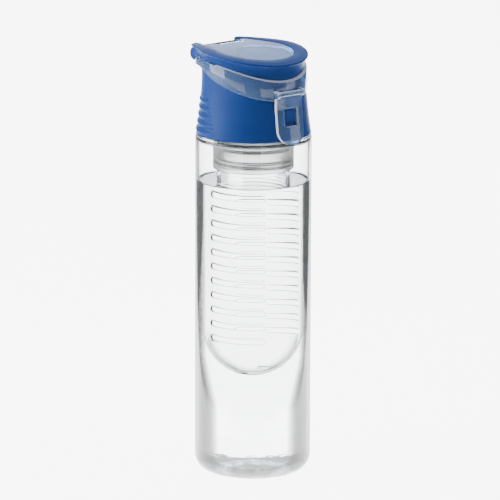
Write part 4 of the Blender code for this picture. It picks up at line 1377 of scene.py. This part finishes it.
@dataclass
class Infuser:
    """The frosted collar and the slotted basket."""

    collar_radius: float = 24.4
    collar_bore: float = 22.7
    collar_low: float = 187.5
    collar_high: float = 227.1
    groove_heights: tuple[float, ...] = (194.6, 192.4, 190.0)
    groove: float = 0.35
    ledge_bore: float = 19.9
    ledge_low: float = 201.1
    ledge_high: float = 203.1
    ridge_pitch: float = 4.5
    ridge_size: float = 0.85
    collar_ridge_rise: float = 2.05
    basket_ridge_rise: float = 4.3
    neck_radius: float = 21.3
    radius: float = 22.3
    wall: float = 1.5
    shoulder: float = 187.2
    top: float = 199.0
    turn: float = radians(202.5)
    rows: int = 11
    columns: int = 2
    first_slot: float = 174.1
    pitch: float = 8.79
    slot_height: float = 3.1
    slot_edge: float = 0.3
    slot_span: float = radians(90)
    tile_span: float = radians(97)
    dome_top: float = 86.2
    dome_depth: float = 25.7
    tile_steps: int = 32
    plain_steps: int = 32
    short_steps: int = 6
    drain_row: int = 10
    drain_steps: int = 19
    drain_low: float = radians(71)
    drain_high: float = radians(64)

    def collar(self) -> Mesh:
        """The collar, with shallow rings outside near its lower end.

        Returns:
            The mesh.
        """
        out, bore, ledge, groove = self.collar_radius, self.collar_bore, self.ledge_bore, self.groove
        low, high, ledge_low, ledge_high = self.collar_low, self.collar_high, self.ledge_low, self.ledge_high
        corners = [(out, high, 0.4)]
        for z in self.groove_heights:
            corners += [(out, z + groove, 0.15), (out - groove, z, 0.2), (out, z - groove, 0.15)]
        corners += [(out, low, 0.5), (bore, low, 0.4), (bore, ledge_low, 0.3), (ledge, ledge_low, 0.3),
                    (ledge, ledge_high, 0.3), (bore, ledge_high, 0.3), (bore, high, 0.3)]
        thread = ridge(Finish.COLLAR, bore, self.shoulder + self.collar_ridge_rise, self.ridge_pitch, 0.75,
                       self.ridge_size)
        return merged("collar", turned("collar_ring", eased(corners)), thread)

    def angles(self) -> list[float]:
        """Angles where the basket's mesh has a column: across each slotted part and then the plain wall.

        Returns:
            The angles in radians.
        """
        made: list[float] = []
        plain = tau / self.columns - self.tile_span
        for column in range(self.columns):
            start = self.turn - self.tile_span / 2 + tau * column / self.columns
            made += [start + self.tile_span * i / self.tile_steps for i in range(self.tile_steps)]
            made += [start + self.tile_span + plain * i / self.plain_steps for i in range(self.plain_steps)]
        return made

    def ring(self, radius: float, height: float) -> Ring:
        """One ring of the basket."""
        return [(radius * cos(a), radius * sin(a), height) for a in self.angles()]

    def tile(self) -> Mesh:
        """One flat tile of the wall: a long slot with rounded ends, and the plain wall beside it.

        Returns:
            The tile's mesh in metres, X along the girth and -Y into the wall.
        """
        w, h = self.tile_span * self.radius / 2, self.pitch / 2
        straight = (self.slot_span * self.radius - self.slot_height) / 2
        along, short, edge, back = self.tile_steps, self.short_steps, self.slot_edge, -self.wall

        def loop(y: float, half_length: float, height: float, end: Profile) -> Ring:
            """A long side and an end, and both again turned half round."""
            half = [(-half_length + 2 * half_length * i / along, height) for i in range(along)] + end
            return [(x, y, z) for x, z in half] + [(-x, y, -z) for x, z in half]

        def box(y: float) -> Ring:
            """The edge of the slotted part."""
            return loop(y, w, h, [(w, h - 2 * h * i / short) for i in range(short)])

        def slot(y: float, grow: float) -> Ring:
            """The slot's edge, grown outwards."""
            reach = self.slot_height / 2 + grow
            turns = [pi * i / short for i in range(short)]
            return loop(y, straight, reach, [(straight + reach * sin(t), reach * cos(t)) for t in turns])

        work = bmesh.new()
        turns = ((0.0, edge), (edge * 0.3, edge * 0.3), (edge, 0.0))
        rings = [box(0.0), *(slot(-y, grow) for y, grow in turns),
                 *(slot(back + y, grow) for y, grow in reversed(turns)), box(back)]
        made = [[work.verts.new(Vector(p) * MM) for p in ring] for ring in rings]
        for low, high in zip(made, made[1:]):
            strip(work, low, high)
        plain = (tau / self.columns - self.tile_span) * self.radius
        for y in (0.0, back):
            places = [w + plain * i / self.plain_steps for i in range(self.plain_steps + 1)]
            heights = [h - self.pitch * k / short for k in range(short + 1)]
            columns = [[work.verts.new(Vector((x, y, z)) * MM) for z in heights] for x in places]
            for left, right in zip(columns, columns[1:]):
                strip(work, left, right, (short,))
        return stored("tile", work)

    def dome(self) -> list[Ring]:
        """Outer and then inner rings of the dome, from the last row of slots down to the pole and back.

        Returns:
            The rings of the basket's lower end, outside first.
        """
        first = self.first_slot - self.slot_height / 2 - self.pitch * (self.rows - 1) - self.pitch / 2
        start = asin((self.dome_top - first) / self.dome_depth)
        slants = [start + (self.drain_high - start) * i / 10 for i in range(11)]
        slants += [self.drain_low + (pi / 2 - self.drain_low) * i / 5 for i in range(5)]
        sides: list[list[Ring]] = []
        for inset in (0.0, self.wall):
            made = [self.ring(self.radius * cos(start) - inset, first)]
            for slant in slants[1:]:
                z = self.dome_top - self.dome_depth * sin(slant) + inset * sin(slant) ** 2
                made.append(self.ring((self.radius - inset) * cos(slant), z))
            sides.append(made + [[(0.0, 0.0, self.dome_top - self.dome_depth + inset)]])
        return sides[0] + sides[1][::-1]

    def basket(self) -> Mesh:
        """The basket: slotted wall, dome with two drain slots, plain wall and threaded neck.

        Returns:
            The mesh.
        """
        wall = grown("slotted_wall", slot_wall_tree(), Finish.BASKET, {
            "Columns": self.columns, "Rows": self.rows, "Row Pitch": self.pitch * MM,
            "Top Row": (self.first_slot - self.slot_height / 2) * MM, "Radius": self.radius * MM,
            "Turn": self.turn, "Dome Top": self.dome_top * MM, "Dome Depth": self.dome_depth * MM,
            "Weld": 0.005 * MM,
        }, self.tile())
        work = bmesh.new()
        work.from_mesh(wall)
        bmesh.ops.scale(work, vec=(1 / MM, 1 / MM, 1 / MM), verts=work.verts)
        count = len(self.angles())
        rings = [[work.verts.new(p) for p in ring] for ring in self.dome()]
        last, drain_row = len(rings) - 1, self.drain_row
        drain = {start + k for start in range(0, count, count // self.columns)
                 for k in range(1, self.drain_steps + 1)}
        for row, (low, high) in enumerate(zip(rings, rings[1:])):
            if len(low) + len(high) > 2:
                strip(work, low, high, drain if min(row, last - 1 - row) == drain_row else ())
        outer, inner = rings[drain_row:drain_row + 2], rings[last - drain_row:last - drain_row - 2:-1]
        for low, high in zip(outer, inner):
            strip(work, low, high, set(range(count)) - drain)
        for i in range(count):
            if (i in drain) != ((i - 1) % count in drain):
                work.faces.new((outer[0][i], outer[1][i], inner[1][i], inner[0][i]))
        slot_top = self.first_slot + (self.pitch - self.slot_height) / 2
        bore, neck, shoulder = self.radius - self.wall, self.neck_radius - self.wall, self.shoulder
        shape = [(self.radius, slot_top), *eased([
            (self.radius, slot_top + 2, 0), (self.radius, shoulder, 0.5), (self.neck_radius, shoulder, 0.4),
            (self.neck_radius, self.top, 0.3), (neck, self.top, 0.3), (neck, shoulder, 0.4),
            (bore, shoulder - 2.0, 0.4), (bore, slot_top + 2, 0),
        ], closed=False), (bore, slot_top)]
        upper = [[work.verts.new(p) for p in self.ring(r, z)] for r, z in shape]
        for low, high in zip(upper, upper[1:]):
            strip(work, low, high)
        bmesh.ops.remove_doubles(work, verts=work.verts, dist=0.03)
        made = merged("basket", closed_mesh("basket_body", work), ridge(
            Finish.BASKET, self.neck_radius, shoulder + self.basket_ridge_rise, self.ridge_pitch, 1.0,
            self.ridge_size))
        # Painted shade: the level faces round the slots, from the dome up to the top row, take the basket's
        # dark cut colour.
        return mark_painted_edges(made, lambda middle, normal: abs(normal.z) > 0.5
                              and self.dome_top * 0.95 * MM < middle.z < (self.first_slot + 3) * MM)

    def build(self) -> None:
        """Build and dress the infuser."""
        install("collar_frosted", self.collar(), Finish.COLLAR, "cap", ["infuser_collar"])
        install("basket_clear", self.basket(), Finish.BASKET, "basket", ["infuser_basket"])
        dress_node("infuser_seal", Finish.SILICONE)


@dataclass
class Lid:
    """The flip lid: blue horseshoe trim, clear shell with window and band, and the plug."""

    window_radius: float = 24.2
    window_rear_half: float = 13.995
    window_depth: float = 4.7
    window_sunk: float = 0.5
    flange: float = 2.6
    edge: float = 0.6
    dish: float = 0.3
    rim_height: float = 1.5
    draft: float = 2.3
    trim_wall: float = 1.7
    wall_radius: float = 28.3
    shell_wall: float = 1.8
    band_radius: float = 31.8
    band_low_radius: float = 32.2
    band_wall: float = 2.0
    band_ledge: float = 1.8
    lobe_radius: float = 4.15
    lobe_inner: float = 15.495
    lobe_outer: float = 19.295
    hinge_room: float = 4.9
    room_low: float = 229.6
    ear_inner: float = 8.3
    ear_outer: float = 10.1
    ear_radius: float = 2.0
    holder_radius: float = 17.0
    holder_bore: float = 15.6
    holder_span: Pair = (0.9, -1.9)
    plug_radius: float = 15.3
    plug_flange: float = 1.2
    pad_radius: float = 11.6
    stopper_radius: float = 7.6
    mouth: float = 250.5

    def section(self, place: int, outlines: Sequence[Sequence[Vector]], side: int) -> Ring:
        """One section of the trim.

        Args:
            place: index of the station along the outlines.
            outlines: the rim, lower edge, inner wall and window outlines.
            side: 1 for +X, -1 for its mirror image.

        Returns:
            The section's points.
        """
        rim, lower, wall, window = (outline[place] for outline in outlines)
        inner = rim - rim.normalized() * self.edge
        made: list[tuple[Vector, float]] = []
        for t in (step / 5 for step in range(6)):
            spot = window.lerp(inner, t)
            made.append((spot, LINES.lid_top(spot.y) - self.dish * (1 - sin(pi * t) ** 0.7)))
        start_z = LINES.lid_top(inner.y) - self.dish
        end_z = LINES.lid_top(rim.y) - self.edge
        for turn in (pi / 2 * step / 5 for step in range(1, 6)):
            made.append((inner.lerp(rim, sin(turn)), end_z + (start_z - end_z) * cos(turn)))
        low, foot = LINES.lid_top(rim.y) - self.rim_height, LINES.trim_bottom(lower.y) + LINES.gap
        made += [
            (rim, low + 0.25), (rim.lerp(lower, 0.1), low), (rim.lerp(lower, 0.45), low - 0.4),
            (rim.lerp(lower, 0.7), low * 0.8 + foot * 0.2), (lower, foot + 0.3),
            (lower.lerp(wall, 0.2), foot), (wall, foot), (wall, LINES.lid_top(wall.y) - self.flange),
            (window, LINES.lid_top(window.y) - self.flange),
        ]
        return [(side * p.x, p.y, z) for p, z in made]

    def trim(self) -> Mesh:
        """The blue horseshoe with its two hinge lobes.

        Returns:
            The mesh.
        """
        insets = (0.0, self.draft, self.draft + self.trim_wall)
        shapes = [(LINES.lid_radius - inset, LINES.lid_rear_half * (1 - inset / LINES.lid_radius))
                  for inset in insets] + [(self.window_radius, self.window_rear_half)]
        outlines = [LINES.half_outline(radius, LINES.lid_rear, rear_half) for radius, rear_half in shapes]
        count = len(outlines[0])
        rings = [self.section(i, outlines, -1) for i in range(count - 1, 0, -1)]
        rings += [self.section(i, outlines, 1) for i in range(count)]
        lobes = [bar("lobe", self.lobe_radius, span, LINES.hinge, 0.5)
                 for span in ((-self.lobe_outer, -self.lobe_inner), (self.lobe_inner, self.lobe_outer))]
        return merged("trim", skin("trim_ring", rings, sharp=30), *lobes)

    def shell(self) -> Mesh:
        """The clear moulding: window, inner wall, band, plug holder and clip ears.

        Returns:
            The mesh.
        """
        outline, low, gap, rear = LINES.outline, self.band_low_radius, LINES.gap, LINES.lid_rear
        inner = self.wall_radius - self.shell_wall
        roof = outline(self.wall_radius)

        def below(rule: Rule, depth: float) -> Rule:
            """The same rule, a depth lower."""
            return lambda y: rule(y) - depth

        ceiling, ledge = below(LINES.lid_top, self.window_depth), below(LINES.trim_bottom, self.band_ledge)
        cup = loose(skin("cup", [
            *crowned(roof, below(LINES.lid_top, self.flange + gap)),
            ring_at(roof, LINES.trim_bottom), ring_at(outline(self.band_radius), LINES.trim_bottom),
            ring_at(outline(low), LINES.seam), ring_at(outline(low - self.band_wall), LINES.seam),
            ring_at(outline(self.band_radius - self.band_wall), ledge), ring_at(outline(inner), ledge),
            *crowned(outline(inner), ceiling)[::-1],
        ]))
        plan = mirrored(LINES.half_outline(self.window_radius - gap, rear - gap, self.window_rear_half - gap))
        pane = skin("pane", crowned(plan, below(LINES.lid_top, self.window_sunk))
                    + crowned(plan, below(LINES.lid_top, self.window_depth - gap))[::-1])
        combine(cup, "UNION", pane, self.holder(), *self.ears())
        combine(cup, "DIFFERENCE", bar("pin_hole", LINES.pin_bore, (-9.75, 9.75), LINES.pin, segments=32))
        soften(cup, 0.3, 2, 50.0)
        low_y, high_y, high = LINES.hinge[0] - self.hinge_room, rear + 4, LINES.lid_crest + 4
        room = [(low_y, self.room_low), (high_y, self.room_low), (high_y, high), (low_y, high)]
        combine(cup, "DIFFERENCE", prism("hinge_room", room, -35.0, 35.0))
        band_top = LINES.trim_bottom(rear) + 1
        # Painted highlights: the band's upper and lower level faces at the front take the lid's near-white
        # cut colour.
        return mark_painted_edges(drop(cup), lambda middle, normal: (
            abs(normal.z) > 0.5 and middle.z < band_top * MM and middle.y < 9 * MM
            and middle.xy.length > (self.wall_radius + 0.2) * MM))

    def seat(self) -> float:
        """Height of the flat under the crowned plate that the plug rests on."""
        sag = self.plug_radius ** 2 / (2 * LINES.crown_radius)
        return LINES.lid_top(-LINES.spout_offset) - self.window_depth - sag

    def tilt(self, mesh: Mesh, height: float) -> Mesh:
        """Tilt a turned piece with the lid, about the spout's middle.

        Args:
            mesh: the piece's mesh, turned about the origin.
            height: height of the place it is moved to.

        Returns:
            The same mesh in its place.
        """
        slope = (LINES.crest_offset + LINES.spout_offset) / LINES.crown_radius
        place = Matrix.Translation((0, -LINES.spout_offset * MM, height * MM))
        mesh.transform(place @ Matrix.Rotation(slope, 4, "X"))
        return mesh

    def holder(self) -> Mesh:
        """The ring under the window that the plug is pressed into."""
        out, bore, (high, low) = self.holder_radius, self.holder_bore, self.holder_span
        section = [(out, high), (out, low), (bore, low), (bore, high)]
        return self.tilt(turned("holder", section, 96, phase=0.5), self.seat())

    def ears(self) -> list[Mesh]:
        """The two rounded ears on the band that hold the clip's pin.

        Returns:
            The ears.
        """
        y, z = LINES.pin
        root = -sqrt((self.band_radius - self.band_wall / 2) ** 2 - self.ear_outer ** 2)
        outline = [(y - self.ear_radius * sin(pi * i / 16), z + self.ear_radius * cos(pi * i / 16))
                   for i in range(17)]
        outline += [(root, z - self.ear_radius / 2), (root, z + self.ear_radius)]
        return [prism("ear", outline, low, high)
                for low, high in ((-self.ear_outer, -self.ear_inner), (self.ear_inner, self.ear_outer))]

    def plug(self) -> Mesh:
        """The soft plug: tilted flange, pad over the spout's mouth and stopper.

        Returns:
            The mesh.
        """
        flange = turned("plug_flange", eased([
            (0, 0, 0), (self.plug_radius, 0, 0.3), (self.plug_radius, -self.plug_flange, 0.3),
            (0, -self.plug_flange, 0),
        ], closed=False), 96)
        top, mouth, stopper = self.seat() - self.plug_flange, self.mouth, self.stopper_radius
        pad = turned("plug_pad", eased([
            (0, top, 0), (self.pad_radius, top, 0.2), (self.pad_radius, mouth, 0.4), (stopper, mouth, 0.2),
            (stopper, mouth - 1.5, 0.3), (stopper - 0.8, mouth - 3.0, 0.6), (0, mouth - 3.0, 0),
        ], closed=False), 96, (0.0, -LINES.spout_offset), 0.5)
        return merged("plug", self.tilt(flange, self.seat() - LINES.gap), pad)

    def build(self) -> None:
        """Build and dress the lid."""
        install("lid_trim_blue", self.trim(), Finish.BLUE, "lid", ["lid_trim"])
        install("lid_shell_clear", self.shell(), Finish.LID, "lid", ["lid_shell"])
        install("spout_plug_soft", self.plug(), Finish.SILICONE, "lid", ["spout_plug"])
        dress_node("latch_pin", Finish.STEEL)


@dataclass
class Latch:
    """The clear clip with its square hole."""

    thickness: float = 2.0
    standoff: float = 0.4
    least_radius: float = 32.2
    half_width: float = 9.8
    bottom: float = 206.6
    tip_round: float = 8.5
    narrow: float = 8.0
    shoulder_drop: float = 2.6
    barrel: float = 1.55
    hole_half: float = 5.0
    hole_low: float = 217.7
    hole_high: float = 228.1
    half_wrap: float = radians(34)
    tool_span: Pair = (-42.0, -25.0)

    def inner(self, height: float) -> float:
        """Radius of the clip's inner face at a height."""
        return max(LINES.smooth_cap_radius(height), self.least_radius) + self.standoff

    def clip(self) -> Mesh:
        """The curved plate, cut to its outline, with its barrel and hole.

        Returns:
            The mesh.
        """
        top = LINES.pin[1]
        shoulder = top - self.shoulder_drop
        levels = [top] + [shoulder + (self.bottom - 4 - shoulder) * i / 26 for i in range(27)]
        section = [(self.inner(z) + self.thickness, z) for z in levels]
        section += [(self.inner(z), z) for z in reversed(levels)]
        angles = [-pi / 2 + self.half_wrap * (2 * step / 56 - 1) for step in range(57)]
        item = loose(skin("clip", [[(r * cos(a), r * sin(a), z) for r, z in section] for a in angles]))
        tip = self.tip_round
        low = arc((self.half_width - tip, self.bottom + tip), tip, 0, -90, 20)
        right = [(self.narrow, top), (self.narrow, shoulder), (self.half_width, shoulder)] + low
        outline = right + [(-x, z) for x, z in reversed(right)]
        combine(item, "INTERSECT", prism("mask", outline, *self.tool_span, along="Y"))
        barrel = bar("barrel", self.barrel, (-self.narrow, self.narrow), LINES.pin, segments=40)
        combine(item, "UNION", barrel)
        half, hole_low, hole_high = self.hole_half, self.hole_low, self.hole_high
        hole = [(-half, hole_low), (half, hole_low), (half, hole_high), (-half, hole_high)]
        combine(item, "DIFFERENCE", prism("hole", hole, *self.tool_span, along="Y"),
                bar("bore", LINES.pin_bore, (-12, 12), LINES.pin, segments=32))
        soften(item, 0.35, 3, 50.0)
        # Painted highlights: the clip's rim faces, all but its inner and outer faces, take the lid's
        # near-white cut colour.
        return mark_painted_edges(
            drop(item), lambda middle, normal: abs(normal.xy.dot(middle.xy.normalized())) < 0.8)

    def build(self) -> None:
        """Build and dress the clip."""
        install("latch_clip_clear", self.clip(), Finish.LID, "latch", ["latch_clip"])


@dataclass
class Studio:
    """The pale floor, the soft lights and the camera. Floor and lights are in metres."""

    aim: Point = (-1.43, 1.20, 135.8)
    azimuth: float = -40.0
    elevation: float = 13.0
    distance: float = 3000.0
    lens: float = 357.9
    roll: float = 0.2
    floor_half: float = 6.0
    glow: float = 7.5
    glow_near: float = 0.185
    glow_spread: float = 0.30
    glow_skew: float = 0.06
    wing_glow: float = 2.4
    wing_slope: float = 0.306
    surround: float = 0.15
    zones: tuple[Row, ...] = (
        ("within", "inside", -0.02, 0.02), ("far", "spot.Y", -0.15, -0.09), ("end", "spot.Y", 2.4, 1.9),
        ("outside", "wide", -0.01, 0.02), ("near", "spot.Y", -0.45, -0.6), ("stop", "spot.Y", -2.2, -1.6),
    )
    lights: tuple[Row, ...] = (
        ("key_left", (-1.3, 0.1, 0.7), (1.2, 1.5), 40.0),
        ("fill_right", (1.3, 0.1, 0.5), (0.6, 1.0), 4.0),
        ("top_soft", (0.0, -0.1, 1.5), (1.2, 1.2), 9.0),
        ("back_panel", (0.0, -1.5, 0.75), (1.8, 0.9), 9.0, "#D3E4FF"),
        ("level_strip", (0.0, -0.42, 0.277), (0.2, 0.028), 0.28),
    )

    def floor(self) -> None:
        """A plain pale floor, lit from within behind the bottle and at the camera's sides."""
        work = bmesh.new()
        bmesh.ops.create_grid(work, x_segments=1, y_segments=1, size=self.floor_half)
        mesh = stored("studio_floor", work)
        mesh.materials.append(shaded("studio_floor", [
            ("turned", "ShaderNodeMapping", {"Vector": HERE, "Rotation": (0, 0, -radians(self.azimuth))}),
            ("spot", SPLIT, {0: "turned"}),
            *chain(
                MATH, ("skewed", "MULTIPLY_ADD", "spot.Y", -self.glow_skew, "spot.X"),
                ("aside", "ABSOLUTE", "skewed"),
                ("room", "MULTIPLY_ADD", "spot.Y", self.glow_spread, self.glow_near),
                ("inside", "SUBTRACT", "room", "aside"),
                ("wide", "MULTIPLY_ADD", "spot.Y", self.wing_slope, "aside")),
            *((label, SPAN, {"Value": value, "From Min": low, "From Max": high},
               {"interpolation_type": "SMOOTHSTEP"}) for label, value, low, high in self.zones),
            *chain(
                MATH, ("lit", "MULTIPLY", "within", "far"), ("behind", "MULTIPLY", "lit", "end"),
                ("beside", "MULTIPLY", "outside", "near"), ("wings", "MULTIPLY", "beside", "stop"),
                ("sides", "MULTIPLY", "wings", self.wing_glow),
                ("all", "MULTIPLY_ADD", "behind", self.glow, "sides")),
        ], {"Base Color": linear("#C4C4C4"), "Roughness": 0.7, "Emission Color": linear("#FFFFFF"),
            "Emission Strength": "all"}))
        item = loose(mesh)
        item.location.z = -0.0002

    def light(self, name: str, place: Point, size: Pair, power: float, tint: str = "#FFFFFF") -> None:
        """Add one soft area light that looks at the bottle.

        Args:
            name: the light's name.
            place: metres to the camera's right, towards the camera and above the floor.
            size: width and height of the light in metres.
            power: its power in watts.
            tint: its colour.
        """
        data = bpy.data.lights.new(name, "AREA")
        data.shape = "RECTANGLE"
        data.size, data.size_y = size
        data.energy = power
        data.color = linear(tint)[:3]
        item = loose(data)
        turn = Matrix.Rotation(radians(self.azimuth), 4, "Z")
        item.location = turn @ Vector((place[0], -place[1], place[2]))
        aim = Vector((0, 0, 0.18)) - item.location
        item.rotation_euler = aim.to_track_quat("-Z", "Y").to_euler()

    def world(self) -> None:
        """An even white surround."""
        world = bpy.data.worlds.new("studio")
        bpy.context.scene.world = world
        world.use_nodes = True
        fill(world.node_tree.nodes["Background"], {"Color": linear("#FFFFFF"), "Strength": self.surround})

    def camera(self) -> None:
        """The camera at the photograph's angle."""
        turn, lift = radians(self.azimuth), radians(self.elevation)
        ahead = Vector((-sin(turn) * cos(lift), cos(turn) * cos(lift), -sin(lift)))
        data = bpy.data.cameras.new("camera")
        data.lens = self.lens
        data.sensor_width = 36.0
        data.clip_end = 50.0
        item = loose(data)
        item.location = (Vector(self.aim) - ahead * self.distance) * MM
        look = ahead.to_track_quat("-Z", "Y").to_matrix().to_4x4()
        item.rotation_euler = (look @ Matrix.Rotation(radians(self.roll), 4, "Z")).to_euler()
        bpy.context.scene.camera = item

    def build(self) -> None:
        """Build the studio."""
        self.camera()
        self.floor()
        self.world()
        for light in self.lights:
            self.light(*light)


def main() -> None:
    """Build every sub-assembly in order."""
    logging.basicConfig(level=logging.INFO, format="%(message)s")
    for part in (Studio(), Bottle(), Cap(), Infuser(), Lid(), Latch()):
        part.build()


if __name__ == "__main__":
    main()
